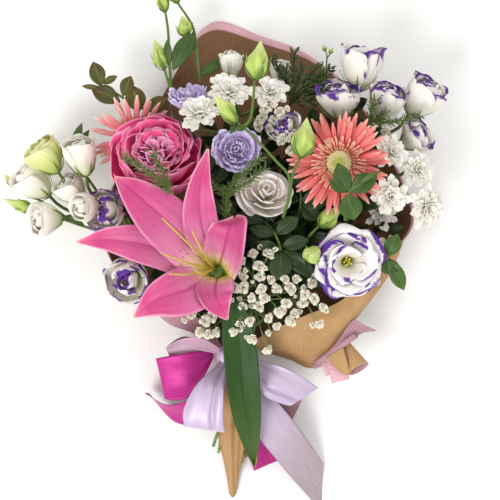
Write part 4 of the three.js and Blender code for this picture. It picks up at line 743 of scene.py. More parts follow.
def paper_material(name, colour, dark, light, rim=None, panel=None):
    """Kraft paper: pressed fibres give fine flecks, and handling gives soft creases, whose lines carry a
    painted highlight as if they catch the light.

    rim is a colour shown along the sheet's free edges. panel is (colour, from): the colour of the sheet
    beyond a place across it.
    """
    material, tree, shader = new_material(name, 0.82, Specular_IOR_Level=0.2)
    FIBRE, CLOUD, CREASE, DEPTH = 1.6 * MM, 40 * MM, 30 * MM, 0.4
    at = add(tree, "ShaderNodeTexCoord").outputs["Object"]
    fibres = grain(tree, drawn_out(tree, (1, 0.25, 1)), 1 / FIBRE, 4.0, 0.65)
    clouds = grain(tree, at, 1 / CLOUD)
    creases = add(tree, "ShaderNodeTexVoronoi", {"Vector": at, "Scale": 1 / CREASE, "Randomness": 1.0},
                  feature="DISTANCE_TO_EDGE").outputs[0]
    across, along, side = on_petal(tree)
    if panel:
        panel_colour, start = panel
        colour = mix(tree, smooth_step(tree, across, start, start + 0.02), colour, panel_colour)
    flecked = mix(tree, faded_step(tree, fibres, 0.45, 0.75, 0.4), colour, dark)
    clouded = mix(tree, faded_step(tree, clouds, 0.4, 0.7, 0.3), flecked, light)
    line = smooth_step(tree, creases, 0.03, 0.0)
    # Painted highlight: the crease lines are lightened as if they catch the light.
    painted_crease_light = mix(tree, math_node(tree, "MULTIPLY", line, 0.25), clouded, light)
    if rim:
        edge = math_node(tree, "MAXIMUM", side, along)
        painted_crease_light = mix(tree, smooth_step(tree, edge, 0.975, 0.982), painted_crease_light, rim)
    surface(tree, shader, painted_crease_light, math_node(tree, "MULTIPLY_ADD", line, -1.2, fibres), 0.4, DEPTH)
    return material


KRAFT = paper_material("kraft paper", "#b08a5e", "#8a6842", "#c9a67a")
KRAFT_SKIRT = paper_material("kraft paper with a mauve side", "#b08a60", "#8a6842", "#c6a278",
                             panel=("#a8808a", 0.66))
ROSE_PAPER = paper_material("pink wrapping paper", "#d8a9b0", "#b58890", "#ecc6cc")
# The back sheet's kraft with painted shade: the same paper made darker brown, as it looks in the shade behind
# the blooms, with its pink rim.
KRAFT_PAINTED_SHADE = paper_material("kraft paper in shade", "#7c5a42", "#5c4028", "#8f6c4c", rim="#d8a9b0")
MAUVE_PAPER = paper_material("mauve wrapping paper", "#a8808a", "#86626c", "#c8a0a8")


def satin_material(name, colour, light, dark, end=None):
    """Satin ribbon: a painted sheen, a lighter tone of its own colour, runs in fine streaks along its
    threads; it is darker along its edges.

    end is the colour that the ribbon falls into towards its far end, where it hangs out of the light.
    """
    material, tree, shader = new_material(name, 0.46, Metallic=0.25, Specular_IOR_Level=0.3, Anisotropic=0.4)
    across, along, side = on_petal(tree)
    THREADS, SLUBS, DEPTH = 70, 9, 0.15
    weave = grain(tree, coordinates(tree, (across, THREADS), (along, SLUBS)))
    if end:
        colour = mix(tree, smooth_step(tree, along, 0.25, 0.85), colour, end)
    # Painted sheen: a lighter colour laid over the weave in fine streaks along the threads.
    painted_sheen = mix(tree, faded_step(tree, weave, 0.3, 0.75, 0.25), colour, light)
    edged = mix(tree, faded_step(tree, side, 0.94, 0.975, 0.6), painted_sheen, dark)
    surface(tree, shader, edged, weave, 0.1, DEPTH)
    return material


MAGENTA_SATIN = satin_material("magenta satin", "#b0237c", "#dc58ae", "#7c1456")
LILAC_SATIN = satin_material("lilac satin", "#bfaec6", "#dcd0e4", "#94829a")
LILAC_TAIL_SATIN = satin_material("lilac satin in shade", "#c6b4cc", "#e0d4e6", "#8f7c90", end="#a8969c")
PALE_SATIN = satin_material("pale pink satin", "#dcb8ca", "#f2dce8", "#b08aa0")


def raffia_material():
    """Raffia: dry split leaf strands, straw-coloured and finely ribbed round the stems."""
    material, tree, shader = new_material("raffia", 0.7)
    STRAND, DEPTH = 1.2 * MM, 0.5
    ribs = grain(tree, drawn_out(tree, (0.1, 1, 0.1)), 1 / STRAND)
    surface(tree, shader, mix(tree, ribs, "#a8986a", "#e0d6b0"), ribs, 0.6, DEPTH)
    return material


def stem_material():
    """Cut flower stems: smooth green skin with long pale streaks and darker patches."""
    material, tree, shader = new_material("flower stem", 0.48, Specular_IOR_Level=0.4)
    STREAK, PATCH, DEPTH = 2.2 * MM, 30 * MM, 0.4
    streaks = grain(tree, drawn_out(tree, (1, 0.12, 1)), 1 / STREAK, 3.0)
    patches = grain(tree, add(tree, "ShaderNodeTexCoord").outputs["Object"], 1 / PATCH)
    green = mix(tree, smooth_step(tree, patches, 0.35, 0.65), "#48662c", "#6f8e48")
    streaked = mix(tree, math_node(tree, "MULTIPLY", streaks, 0.5), green, "#93ab68")
    surface(tree, shader, streaked, streaks, 0.3, DEPTH)
    return material


RAFFIA = raffia_material()
STEM = stem_material()


# ------------------------------------------------------------------ petals and leaves


def petal(shape, turn, path, widths, wrap=0.8, tip=0.3, ruffle=0.0, waves=3, cup=0.0, lap=0.0, uneven=0.05,
          rows=10, columns=8, seed=0):
    """Adds a petal of a flower that faces +Z. path is its mid-line as (out, up) from root to tip.

    wrap tells how far it bends round the flower's axis, tip how much shorter its sides are than its middle,
    and lap how far its one side lies inside and its other side outside its neighbours.
    """
    draw = random.Random(seed)
    reach, rise = 1 + draw.uniform(-uneven, uneven), 1 + draw.uniform(-uneven, uneven)
    line = [Vector((out * reach, 0, up * rise)) for out, up in path]
    phase, lift = draw.uniform(0, 6), draw.uniform(-1, 1)
    spin = Matrix.Rotation(turn + draw.uniform(-2, 2) * uneven, 3, "Z")
    bend = draw.uniform(-0.12, 0.12)

    def point(along, share):
        v = 2 * share - 1
        t = along * (1 - tip * abs(v) ** 2.2 * along)
        at = spline(line, t)
        ahead = (spline(line, min(t + 0.02, 1)) - spline(line, max(t - 0.02, 0))).normalized()
        inward = Vector((-ahead.z, 0, ahead.x))
        half = max(spline(widths, t), 0.1) / 2
        radius = max(at.x, 3) / max(wrap, 0.01)
        s = min(max(v * half, -1.4 * radius), 1.4 * radius)
        out = at.x - radius + radius * math.cos(s / radius)
        wave = ruffle * t * t * (0.25 + 0.75 * abs(v)) * math.sin(waves * math.pi * v + phase + 2.5 * t)
        crumple = ruffle * 0.6 * t * noise.noise(Vector((v * 2.2, t * 2.2, seed * 1.7)))
        off = inward * (cup * v * v - lap * v * t + wave + crumple + lift * ruffle * 0.2 * t)
        return spin @ (Vector((out, radius * math.sin(s / radius) + bend * half * t, at.z)) + off)

    shape.sheet(point, rows, columns, draw.random())


def strap(line, widths, roll=(0, 0), cup=(0, 0), ruffle=0.0, groove=0.0, waves=5, seed=0):
    """A band over a mid-line, with its widths, roll angles in degrees, raised edges and a middle groove."""
    reach = line[-1] - line[0]
    base = Vector((reach.y, -reach.x, 0)).normalized()
    draw = random.Random(seed)
    phase = draw.uniform(0, 6)

    def point(along, share):
        ahead = (spline(line, min(along + 0.01, 1)) - spline(line, max(along - 0.01, 0))).normalized()
        side = (base - ahead * base.dot(ahead)).normalized()
        up = side.cross(ahead)
        angle = math.radians(spline(roll, along))
        out = 2 * share - 1
        half = max(spline(widths, along), 0.1) / 2
        rise = out * half * math.sin(angle) + spline(cup, along) * out * out
        wave = math.sin(waves * math.pi * along + phase + out)
        rise += ruffle * abs(out) ** 3 * wave * math.sin(math.pi * along)
        rise -= groove * math.exp(-((out / 0.16) ** 2)) * math.sin(math.pi * min(along + 0.1, 1))
        return spline(line, along) + side * out * half * math.cos(angle) + up * rise

    return point


# A leaf's width from its base to its tip, as shares of the widest.
LEAF_WIDTHS = (0.06, 0.66, 0.98, 1.0, 0.72, 0.05)


def leaf(shape, base, tip, width, bow=0.1, fold=0.18, rows=12, columns=8, seed=0):
    """Adds a leaf blade from its base to its tip, bowed up, folded along its midrib and a little wavy."""
    draw = random.Random(seed)
    reach = tip - base
    length = reach.length
    side = Vector((reach.y, -reach.x, 0))
    side = side.normalized() if side.length > 1e-6 else Vector((1, 0, 0))
    up = side.cross(reach).normalized()
    if up.z < 0:
        side, up = -side, -up
    sway = draw.uniform(-0.05, 0.05) * length
    phase = draw.uniform(0, 6)

    def point(along, share):
        out = 2 * share - 1
        half = max(spline(LEAF_WIDTHS, along), 0.02) * width / 2
        arch = bow * length * math.sin(math.pi * along)
        wave = 0.06 * width * math.sin(5 * along + phase) * abs(out)
        middle = base + reach * along + side * sway * math.sin(math.pi * along) + up * arch
        return middle + side * out * half + up * (fold * abs(out) * half + wave)

    shape.sheet(point, rows, columns, draw.random())


def flat_petal(length, widths, rows, columns, cup=0.0, curl=0.0, groove=0.0):
    """One petal along +X with its face to +Z, to be set in rings."""
    shape = Shape()

    def point(along, share):
        out = 2 * share - 1
        half = max(spline(widths, along), 0.1) / 2
        grooves = groove * math.cos(3 * math.pi * out) * math.sin(math.pi * along)
        return Vector((length * along, out * half, cup * out * out + curl * along * along - grooves))

    shape.sheet(point, rows, columns)
    return shape


def petal_ring(node, base, matrix, material, **values):
    """Adds a ring of copies of one petal shape to a node's piece, with the whole ring placed by matrix."""
    made = new_object(node + "_ring", base.placed(FROM_TIE).mesh(node), material)
    grown(made, RING_OF_PETALS, {
        "Radius": values["radius"] * MM, "Rise": values["rise"] * MM, "Count": values["count"],
        "Tilt": math.radians(values["tilt"]), "Turn": values.get("turn", 0.0),
        "Uneven": math.radians(values.get("uneven", 5)), "Seed": values["seed"], "Material": material})
    thickened(made, values.get("thickness", PETAL))
    made.data.transform(Matrix.Translation(TIE) @ Matrix.Scale(MM, 4) @ matrix @ Matrix.Scale(1 / MM, 4))
    keep(node, made)


def small_cup(size):
    """A floret of five rounded petals, round the origin and facing +Z."""
    shape = Shape()
    for k in range(5):
        path = [(0.1, 0), (size * 0.25, size * 0.22), (size * 0.5, size * 0.3)]
        petal(shape, k * TURN / 5, path, scaled((0.2, 0.5, 0.42), size), wrap=0.5, rows=3, columns=2, seed=k)
    return shape


# ------------------------------------------------------------------ flowers


def green_back(node, matrix, outs, ups):
    """The green calyx under a flower, turned round its axis: how far out and up its outline goes."""
    shape = Shape()

    def point(along, turn):
        ribbed = spline(outs, along) * (1 + 0.05 * math.cos(5 * turn))
        return Vector((ribbed * math.cos(turn), ribbed * math.sin(turn), spline(ups, along)))

    shape.round(point, 10, 14)
    grow(node, shape.placed(matrix), STALK)


def double_back(node, matrix, s):
    """The calyx of a double lisianthus."""
    green_back(node, matrix, [0, 7 * s, 9 * s, 7 * s, 0], [0, 1, 5 * s, 11 * s, 12 * s])


def cup_back(node, matrix, s):
    """The calyx of a single lisianthus."""
    green_back(node, matrix, [0, 3.4 * s, 4.6 * s, 3 * s, 0], [0, 1 * s, 4 * s, 8 * s, 9 * s])


def spiral_bloom(shape, s, count, rims, heights, widths, seed, ruffle=4.0, waves=2.6, lip=1.08, uneven=0.1):
    """Petals set one golden angle on from each other, from the heart out to the rim.

    rims, heights and widths are the petals' reach, their top over the foot and their width, from the inmost
    petal to the outmost, as shares of a bloom 100 wide; s is the size of one such share.
    """
    for k in range(count):
        share = k / (count - 1)
        out, up, width = spline(rims, share), spline(heights, share), spline(widths, share)
        low = 20 * (1 - share) + 4
        path = [(2 + 4 * share, low), (out * 0.52, low + (up - low) * 0.3),
                (out * 0.86, low + (up - low) * 0.68),
                (out, up), (out * lip, up + (1.5 if share < 0.7 else -0.5))]
        petal(shape, k * GOLDEN_ANGLE, scaled(path, s),
              [width * w * s for w in (0.3, 0.68, 1.0, 1.06, 0.72)], wrap=0.84, tip=0.18, ruffle=ruffle * s,
              waves=waves,
              lap=2.2 * s, uneven=uneven, rows=12, columns=max(10, min(22, int(width / 2.6))), seed=seed + k)


def make_rose(node, matrix, width, seed):
    """A garden rose: a ball of broad guard petals round a dusty heart of petals folded close together."""
    s = width / 100
    guard = Shape()
    rings = [
        (5, [(6, 2), (29, 4), (46, 13), (51, 25), (51, 33)], [18, 50, 76, 76, 50], 4.0),
        (5, [(6, 3), (27, 9), (42, 22), (45, 34), (43, 40)], [18, 46, 68, 68, 44], 4.4),
        (6, [(6, 6), (23, 14), (35, 28), (37, 39), (34, 45)], [15, 38, 52, 52, 34], 4.4),
    ]
    for layer, (count, path, widths, ruffle) in enumerate(rings):
        for k in range(count):
            petal(guard, (k + 0.5 * layer) * TURN / count + 0.4, scaled(path, s), scaled(widths, s),
                  wrap=0.86, tip=0.22, ruffle=ruffle * s, waves=1.5, lap=3.2 * s, uneven=0.11,
                  rows=14, columns=18, seed=seed + layer * 20 + k)
    grow(node, guard.placed(matrix), ROSE_PETAL, PETAL)
    middle = Shape()
    spiral_bloom(middle, s, 18, [20, 30, 40], [48, 46, 41], [28, 42, 58], seed + 70, ruffle=4.6, waves=2.0,
                 lip=1.05, uneven=0.13)
    grow(node, middle.placed(matrix @ Matrix.Translation((0, 2 * s, 0))), ROSE_PETAL, PETAL)
    heart = Shape()
    draw = random.Random(seed)
    FOLDS, GROUPS = 30, 5
    for k in range(FOLDS):
        out = 3 + 23 * math.sqrt(k / FOLDS)
        about = k * GOLDEN_ANGLE
        group = round(about / (TURN / GROUPS)) * TURN / GROUPS
        fold = about + (group - about) * 0.5 + draw.uniform(-0.35, 0.35)
        place = Matrix.Translation((out * s * math.cos(about) * 0.9, (out * math.sin(about) * 0.9 + 2) * s,
                                    0))
        folded = Shape()
        top = 48.5 - 0.006 * out * out + draw.uniform(-1.6, 1.6)
        path = [(1.0, 26), (1.6, 34), (2.6, 41), (5.4 + 0.1 * out, top)]
        petal(folded, fold + draw.choice((-1.2, 1.2)) * (out < 20), scaled(path, s),
              scaled((10, 17, 24, 21), s), wrap=0.5, tip=0.25, ruffle=4.0 * s, waves=1.8, rows=8, columns=9,
              seed=seed + 100 + k)
        folded.placed(place)
        heart.join(folded)
    grow(node, heart.placed(matrix), ROSE_HEART, PETAL)
    green_back(node, matrix, [0, 9 * s, 11 * s, 6 * s, 0], [0, 1, 4 * s, 8 * s, 9 * s])


def make_frilled(node, matrix, width, seed, material, count=26):
    """A double lisianthus: frilled petals in a spiral round a tight frilled heart."""
    s = width / 100
    shape = Shape()
    spiral_bloom(shape, s, count, [3, 17, 30, 42, 50], [48, 48, 46, 41, 37], [13, 28, 42, 56, 62], seed,
                 ruffle=6.0,
                 waves=3.2, uneven=0.17)
    grow(node, shape.placed(matrix), material, PETAL)
    double_back(node, matrix, s)


def make_blush(node, matrix, width, seed, material):
    """A double lisianthus like a small garden rose: a ball of broad smooth petals."""
    s = width / 100
    shape = Shape()
    spiral_bloom(shape, s, 18, [4, 18, 32, 44, 50], [50, 51, 47, 38, 28], [18, 40, 58, 74, 80], seed,
                 ruffle=3.6, waves=1.7,
                 lip=1.08, uneven=0.12)
    grow(node, shape.placed(matrix), material, PETAL)
    double_back(node, matrix, s)


def calyx_sepals(node, matrix, s, reach):
    """Five thread-like green sepals that spread from under a lisianthus."""
    green = Shape()
    for k in range(5):
        path = scaled([(1.5, 0.5), (8.8, 4.6), (reach * 0.73 + 0.6, 11.5), (reach, 19)], s)
        petal(green, (k + 0.5) * TURN / 5, path, [2.4 * s, 2.6 * s, 1.6 * s, 0.3], wrap=0.3, tip=0, rows=8,
              columns=2,
              seed=k)
    grow(node, green.placed(matrix), STALK, SEPAL)


# The lisianthus's own measures are those of a bloom this wide.
LISIANTHUS_WIDTH = 42


def make_lisianthus(node, matrix, width, seed, material, height=34, spread=1.0, petals=5):
    """A half-closed cup of overlapping petals, most of it seen from the side."""
    s = width / LISIANTHUS_WIDTH
    rim = 21 * spread
    high = height - 12
    shape = Shape()
    for k in range(petals):
        path = [(2, 1.5), (7, 5.5), (rim * 0.6, 12), (rim * 0.82, 12 + high * 0.36),
                (rim * 0.92, 12 + high * 0.66),
                (rim * 0.9, height - 1), (rim * (0.84 if k % 2 else 1.02), height + 2.5)]
        share = 5 / petals
        petal(shape, k * TURN / petals, scaled(path, s),
              [w * s * share * spread for w in (5, 15, 27, 37, 40, 35, 24)], wrap=0.95, tip=0.16,
              ruffle=2.0 * s, waves=1.7,
              lap=1.8 * s, uneven=0.07, rows=18, columns=18, seed=seed + k)
    for k in range(5):
        reach = rim * (0.62 if k % 2 else 0.4)
        path = [(1.6, 3), (5, 9), (reach, 18), (reach * 1.08, 12 + high * 0.7), (reach * 0.86, height + 0.5),
                (reach * 0.5, height + 3)]
        petal(shape, (k + 0.5) * TURN / 5, scaled(path, s), scaled((4, 12, 22, 27, 26, 17), s), wrap=0.8,
              tip=0.2, ruffle=1.8 * s, waves=1.8, lap=1.4 * s, rows=13,
              columns=12, seed=seed + 20 + k)
    for k in range(3):
        path = [(0.8, 6), (3, 14), (4.4 + k, height - 8), (3.4 + k, height - 1), (2.4, height + 2)]
        petal(shape, k * TURN / 3, scaled(path, s), scaled((3, 9, 15, 15, 9), s), wrap=0.9,
              tip=0.2, ruffle=1.2 * s, waves=1.4, lap=1.2 * s, rows=8, columns=8, seed=seed + 40 + k)
    grow(node, shape.placed(matrix), material, PETAL)
    cup_back(node, matrix, s)
    calyx_sepals(node, matrix, s, rim * 0.9)


def make_open_lisianthus(node, matrix, width, seed, material):
    """A lisianthus wide open towards the eye, its ruffled petals swirled round a yellow heart."""
    s = width / LISIANTHUS_WIDTH
    rings = [
        (5, [(2, 1.5), (6, 8), (10, 13.5), (15, 17.5), (20, 19), (22.5, 16.5)], [4, 12, 24, 34, 38, 24], 3.0,
         0.1),
        (4, [(2, 3), (5.5, 10), (9, 15), (13, 20.5), (17, 22.5), (18.5, 20)], [4, 12, 24, 34, 36, 22], 3.4,
         0.16),
        (4, [(1.6, 5), (4.5, 12), (7, 17), (9.0, 22.5), (11.5, 25.5), (13.5, 24)], [3, 10, 20, 27, 29, 18],
         3.2, 0.2),
    ]
    shape = Shape()
    for layer, (count, path, widths, ruffle, uneven) in enumerate(rings):
        for k in range(count):
            petal(shape, (k + 0.37 * layer) * TURN / count + 0.9, scaled(path, s), scaled(widths, s),
                  wrap=0.86, tip=0.2, ruffle=ruffle * s, waves=1.5, lap=3.0 * s, uneven=uneven,
                  rows=22, columns=24, seed=seed + 10 * layer + k)
    grow(node, shape.placed(matrix), material, PETAL)
    cup_back(node, matrix, s)
    make_pistil(node, matrix, s)


def make_pistil(node, matrix, s):
    """Yellow-green stamens round a pistil with two lobes."""
    heart = Shape()
    for k in range(8):
        turn = k * GOLDEN_ANGLE
        out = 2.6 * s * math.sqrt((k + 0.5) / 8)

        def point(along, about, out=out, turn=turn):
            girth = 1.0 * s * (0.35 + 0.65 * along**4) * (0 if along in (0, 1) else 1)
            return Vector((out * (0.6 + 0.6 * along) * math.cos(turn) + girth * math.cos(about),
                           out * (0.6 + 0.6 * along) * math.sin(turn) + girth * math.sin(about),
                           (8 + 8 * along) * s))

        heart.round(point, 8, 7, k / 8)
    grow(node, heart.placed(matrix), PISTIL)


def resized(shape, size):
    """The same shape at another size."""
    copy = Shape()
    copy.points = [p * size for p in shape.points]
    copy.faces, copy.places, copy.chances = shape.faces, shape.places, shape.chances
    return copy


def make_gerbera(node, matrix, width, cupped, seed,
                 rings=((27, 7, -6, 1.0), (25, 8, 0, 0.95), (20, 9, 6, 0.82)),
                 ray_material=GERBERA_RAY):
    """A gerbera: rings of long rays, short inner rays with pale tips, and a disc of tiny florets.

    rings are the long rays from below, each as (count, height, lean, size).
    """
    r = width / 2
    ray = flat_petal(r * 0.76, [r * 0.035, r * 0.075, r * 0.1, r * 0.105, r * 0.02], 12, 6, cup=0.7, curl=-4,
                     groove=0.4)
    short = flat_petal(r * 0.32, [r * 0.02, r * 0.035, r * 0.04, r * 0.012], 6, 3, cup=0.4, curl=2.0)
    tilt = math.degrees(math.atan2(cupped + 3, r * 0.7))
    for layer, (count, low, lean, size) in enumerate(rings):
        petal_ring(node, resized(ray, size), matrix, ray_material, count=count, radius=r * 0.26, rise=low,
                   tilt=tilt + lean,
                   turn=0.11 * layer, uneven=10, seed=seed + layer)
    for layer, (count, radius, low,
                lean) in enumerate([(46, 0.27, 9.8, 24), (42, 0.25, 10.6, 42), (36, 0.225, 11.2, 62)]):
        petal_ring(node, resized(short, 1 - 0.12 * layer), matrix, GERBERA_SHORT, count=count,
                   radius=r * radius, rise=low,
                   tilt=lean, turn=0.05 * layer, uneven=12, seed=seed + 5 + layer, thickness=0.3)
    FLORETS, FLORET_SIZE, LEAN = 190, 0.85, 0.3
    disc, heart = r * 0.23, r * 0.12
    outer, inner = [], []
    for k in range(FLORETS):
        out = disc * math.sqrt((k + 0.5) / FLORETS)
        turn = k * GOLDEN_ANGLE
        high = 12.4 - 1.4 * math.cos(out / disc * 3)
        place = matrix @ Vector((out * math.cos(turn), out * math.sin(turn), high))
        facing = matrix.to_3x3() @ Vector((LEAN * math.cos(turn), LEAN * math.sin(turn), 1))
        (inner if out < heart else outer).append((place, facing, FLORET_SIZE))
    grow_copies(node, DISC_FLORET, outer, GERBERA_DISC, seed)
    grow_copies(node, DISC_FLORET, inner, GERBERA_HEART, seed + 1)
    green_back(node, matrix, [0, r * 0.14, r * 0.25, r * 0.28, r * 0.2, 0], [0, 0.6, 3.5, 9, 11, 11.4])


def make_mum(node, matrix, width, seed, full=True):
    """A spray chrysanthemum: broad ragged petals in a spiral, the inmost folded over its middle."""
    r = width / 2
    shape = Shape()
    count = 44 if full else 36
    for k in range(count):
        share = k / (count - 1)
        out = r * (0.2 + 0.8 * share**0.7)
        top = 16 - 11 * share**1.4 + (k % 3)
        path = [(1.5 + 2 * share, 4.5 - share), (out * 0.5, 4 + top * 0.42), (out * 0.84, top * 0.86),
                (out, top)]
        broad = r * (0.24 + 0.12 * share)
        petal(shape, k * GOLDEN_ANGLE, path, [broad * 0.4, broad * 0.85, broad * 1.1, broad * 0.7], wrap=0.5,
              tip=0.3,
              ruffle=1.5, waves=1.6, cup=1.5, uneven=0.16, rows=8, columns=6, seed=seed * 7 + k)
    grow(node, shape.placed(matrix), MUM_PETAL, 0.4)
    green_back(node, matrix, [0, r * 0.16, r * 0.3, r * 0.3, 0], [0, 0.6, 3, 6, 8])


def make_bud(node, base, tip, width, seed, sepals=4):
    """A closed bud of petals twisted round each other, with narrow green sepals round it."""
    reach = tip - base
    turn = UP.rotation_difference(reach.normalized()).to_matrix().to_4x4()
    matrix = Matrix.Translation(base) @ turn
    length = reach.length
    girths = [0.05, 0.66, 0.98, 0.92, 0.6, 0.3, 0.0]

    def point(along, about):
        broad = 0.13 * math.cos(3 * (about + 3.0 * along))
        lobes = 1 + broad + 0.05 * math.cos(7 * (about + 2.4 * along) + 1)
        out = spline(girths, along) * width / 2 * (lobes if 0 < along < 1 else 1)
        return Vector((out * math.cos(about), out * math.sin(about), length * along))

    shape = Shape()
    shape.round(point, 24, 36, random.Random(seed).random())
    grow(node, shape.placed(matrix), BUD_PETAL)
    green = Shape()
    out = width / 2
    for k in range(sepals):
        path = [(0.6, -0.5), (out * 0.8, length * 0.12), (out * 1.08, length * 0.3),
                (out * 1.1, length * 0.46),
                (out * 1.22, length * 0.6)]
        petal(green, k * TURN / sepals + seed, path, [2.2, width * 0.2, width * 0.15, width * 0.08, 0.3],
              wrap=0.9, tip=0.0, rows=8, columns=3, seed=seed + k)
    grow(node, green.placed(matrix), STALK, SEPAL)


DISC_FLORET = template("disc_floret", small_cup(2.6), 0.3)


# ------------------------------------------------------------------ where the blooms are

# Each bloom: its node, the table point that it hides, its middle's height over the table and over its own
# foot, the way it faces, and its maker with its sizes.
WHITE_CUP = {"petals": 4, "material": WHITE_PETAL}
BLOOMS = [
    ("gerbera_front", (104, 189), 132, 12, (-0.12, -0.12, 0.98), make_gerbera, {"width": 104, "cupped": 9}),
    ("rose", (-78, 196), 112, 30, (0.05, 0.5, 0.86), make_rose, {"width": 92}),
    ("lisianthus_cream", (31, 160), 122, 22, (0.16, 0.5, 0.85), make_blush,
     {"width": 56, "material": CREAM_PETAL}),
    ("lisianthus_lavender_open", (2, 202), 124, 20, (0.02, 0.12, 0.99), make_frilled,
     {"width": 50, "material": LAVENDER_PETAL}),
    ("lisianthus_front", (112, 91), 104, 18, (0.05, -0.1, 0.99), make_open_lisianthus,
     {"width": 66, "material": OPEN_PICOTEE_PETAL}),
    ("mums_right", (157, 155), 112, 10, (0.25, -0.15, 0.95), make_mum, {"width": 44}),
    ("mums_right", (194, 144), 96, 10, (0.5, -0.25, 0.83), make_mum, {"width": 46}),
    ("mums_right", (184, 183), 100, 10, (0.45, 0.1, 0.88), make_mum, {"width": 42}),
    ("mums_right", (158, 200), 118, 10, (0.3, 0.2, 0.93), make_mum, {"width": 38, "full": False}),
    ("mums_top", (-36, 241), 118, 10, (-0.05, 0.62, 0.78), make_mum, {"width": 50}),
    ("mums_top", (-5, 262), 106, 10, (0.02, 0.55, 0.83), make_mum, {"width": 48}),
    ("mums_top", (35, 261), 98, 10, (0.12, 0.45, 0.88), make_mum, {"width": 42}),
    ("mums_low", (147, 137), 80, 10, (0.2, -0.1, 0.97), make_mum, {"width": 34, "full": False}),
    ("mums_low", (153, 103), 78, 10, (0.35, -0.2, 0.91), make_mum, {"width": 34, "full": False}),
    ("lisianthus_upper_right", (126, 283), 82, 24, (0.1, 0.96, 0.26), make_lisianthus,
     {"width": 46, "height": 38, "material": PICOTEE_PETAL}),
    ("lisianthus_upper_right", (152, 252), 88, 22, (0.22, 0.86, 0.46), make_lisianthus,
     {"width": 40, "material": PICOTEE_PETAL}),
    ("lisianthus_upper_right", (186, 254), 76, 22, (0.55, 0.74, 0.38), make_lisianthus,
     {"width": 42, "height": 38, "material": PICOTEE_PETAL}),
    ("lisianthus_upper_right", (180, 215), 78, 18, (0.72, 0.42, 0.55), make_lisianthus,
     {"width": 40, "height": 28, "material": PICOTEE_PETAL}),
    ("lisianthus_behind", (104, 248), 88, 18, (-0.1, 0.86, 0.5), make_lisianthus,
     {"width": 48, "height": 30, "petals": 4, "material": PICOTEE_PETAL}),
    ("lisianthus_behind", (50, 224), 92, 16, (-0.2, 0.3, 0.93), make_lisianthus,
     {"width": 36, "height": 28, "petals": 4, "material": PICOTEE_PETAL}),
    ("lisianthus_left", (-126, 142), 78, 18, (-0.45, 0.1, 0.89), make_lisianthus,
     {"width": 44, "height": 28, "material": PICOTEE_PETAL}),
    ("lisianthus_left", (-106, 74), 74, 18, (-0.3, -0.3, 0.9), make_lisianthus,
     {"width": 46, "height": 27, "material": PICOTEE_PETAL}),
    ("lisianthus_left", (-149, 145), 88, 18, (-0.72, -0.1, 0.68), make_lisianthus,
     {"width": 34, "spread": 0.9, **WHITE_CUP}),
    ("lisianthus_lavender_side", (-47, 260), 90, 22, (-0.05, 0.86, 0.5), make_frilled,
     {"width": 46, "count": 22, "material": LAVENDER_PETAL}),
    ("gerbera_back", (-99, 214), 71, 9, (-0.3, 0.42, -0.86), make_gerbera,
     {"width": 92, "cupped": 9, "rings": ((21, 7, -4, 1.0), (14, 8, 4, 0.88)),
      "ray_material": GERBERA_BACK_RAY}),
    ("lisianthus_white", (-4, 290), 62, 20, (0.0, 0.93, 0.36), make_lisianthus,
     {"width": 34, "spread": 0.7, **WHITE_CUP}),
    ("lisianthus_white", (45, 281), 60, 18, (0.15, 0.8, 0.58), make_lisianthus,
     {"width": 32, "spread": 0.7, **WHITE_CUP}),
    ("left_bunch", (-188, 194), 76, 20, (-0.55, 0.74, 0.4), make_lisianthus,
     {"width": 42, "spread": 0.9, "petals": 4, "material": GREENISH_PETAL}),
    ("left_bunch", (-154, 195), 86, 22, (-0.2, 0.88, 0.42), make_lisianthus,
     {"width": 42, "height": 36, "spread": 0.85, **WHITE_CUP}),
    ("left_bunch", (-199, 168), 54, 20, (-0.66, 0.62, 0.42), make_lisianthus,
     {"width": 44, "height": 36, "spread": 0.9, **WHITE_CUP}),
    ("left_bunch", (-163, 162), 62, 18, (-0.6, 0.66, 0.46), make_lisianthus,
     {"width": 36, "spread": 0.9, **WHITE_CUP}),
    ("left_bunch", (-188, 133), 58, 18, (-0.86, -0.1, 0.5), make_lisianthus,
     {"width": 36, "spread": 1, **WHITE_CUP}),
]
# Where the stalks of a spray part from its stem.
JOINTS = {
    "mums_top": (4, 214, 58), "mums_right": (128, 158, 52), "mums_low": (116, 96, 44),
    "lisianthus_upper_right": (120, 204, 40), "lisianthus_behind": (64, 196, 50),
    "lisianthus_left": (-82, 84, 38),
    "lisianthus_white": (6, 236, 34), "left_bunch": (-104, 112, 58),
}
STALK_RADIUS = 1.5


def make_blooms():
    """Every bloom in its place, and a stalk to it from the joint of its spray."""
    for number, (node, at, z, middle, facing, make, sizes) in enumerate(BLOOMS):
        turn = UP.rotation_difference(Vector(facing).normalized())
        away = turn @ -UP
        scale = nearness(z)
        foot = seen(*at, z) + away * middle * scale
        matrix = Matrix.LocRotScale(foot, turn, Vector((scale, scale, scale)))
        make(node, matrix, seed=11 + 3 * number, **sizes)
        if node in JOINTS:
            joint = seen(*JOINTS[node])
            before = foot + away * 16
            bend = joint.lerp(before, 0.5)
            grow_stalks(node, [[joint, bend, before, foot - away * 1.5]],
                        [[STALK_RADIUS + 0.2, STALK_RADIUS]], STALK)


# ------------------------------------------------------------------ the lily

THROAT = seen(-21, 83, 112)
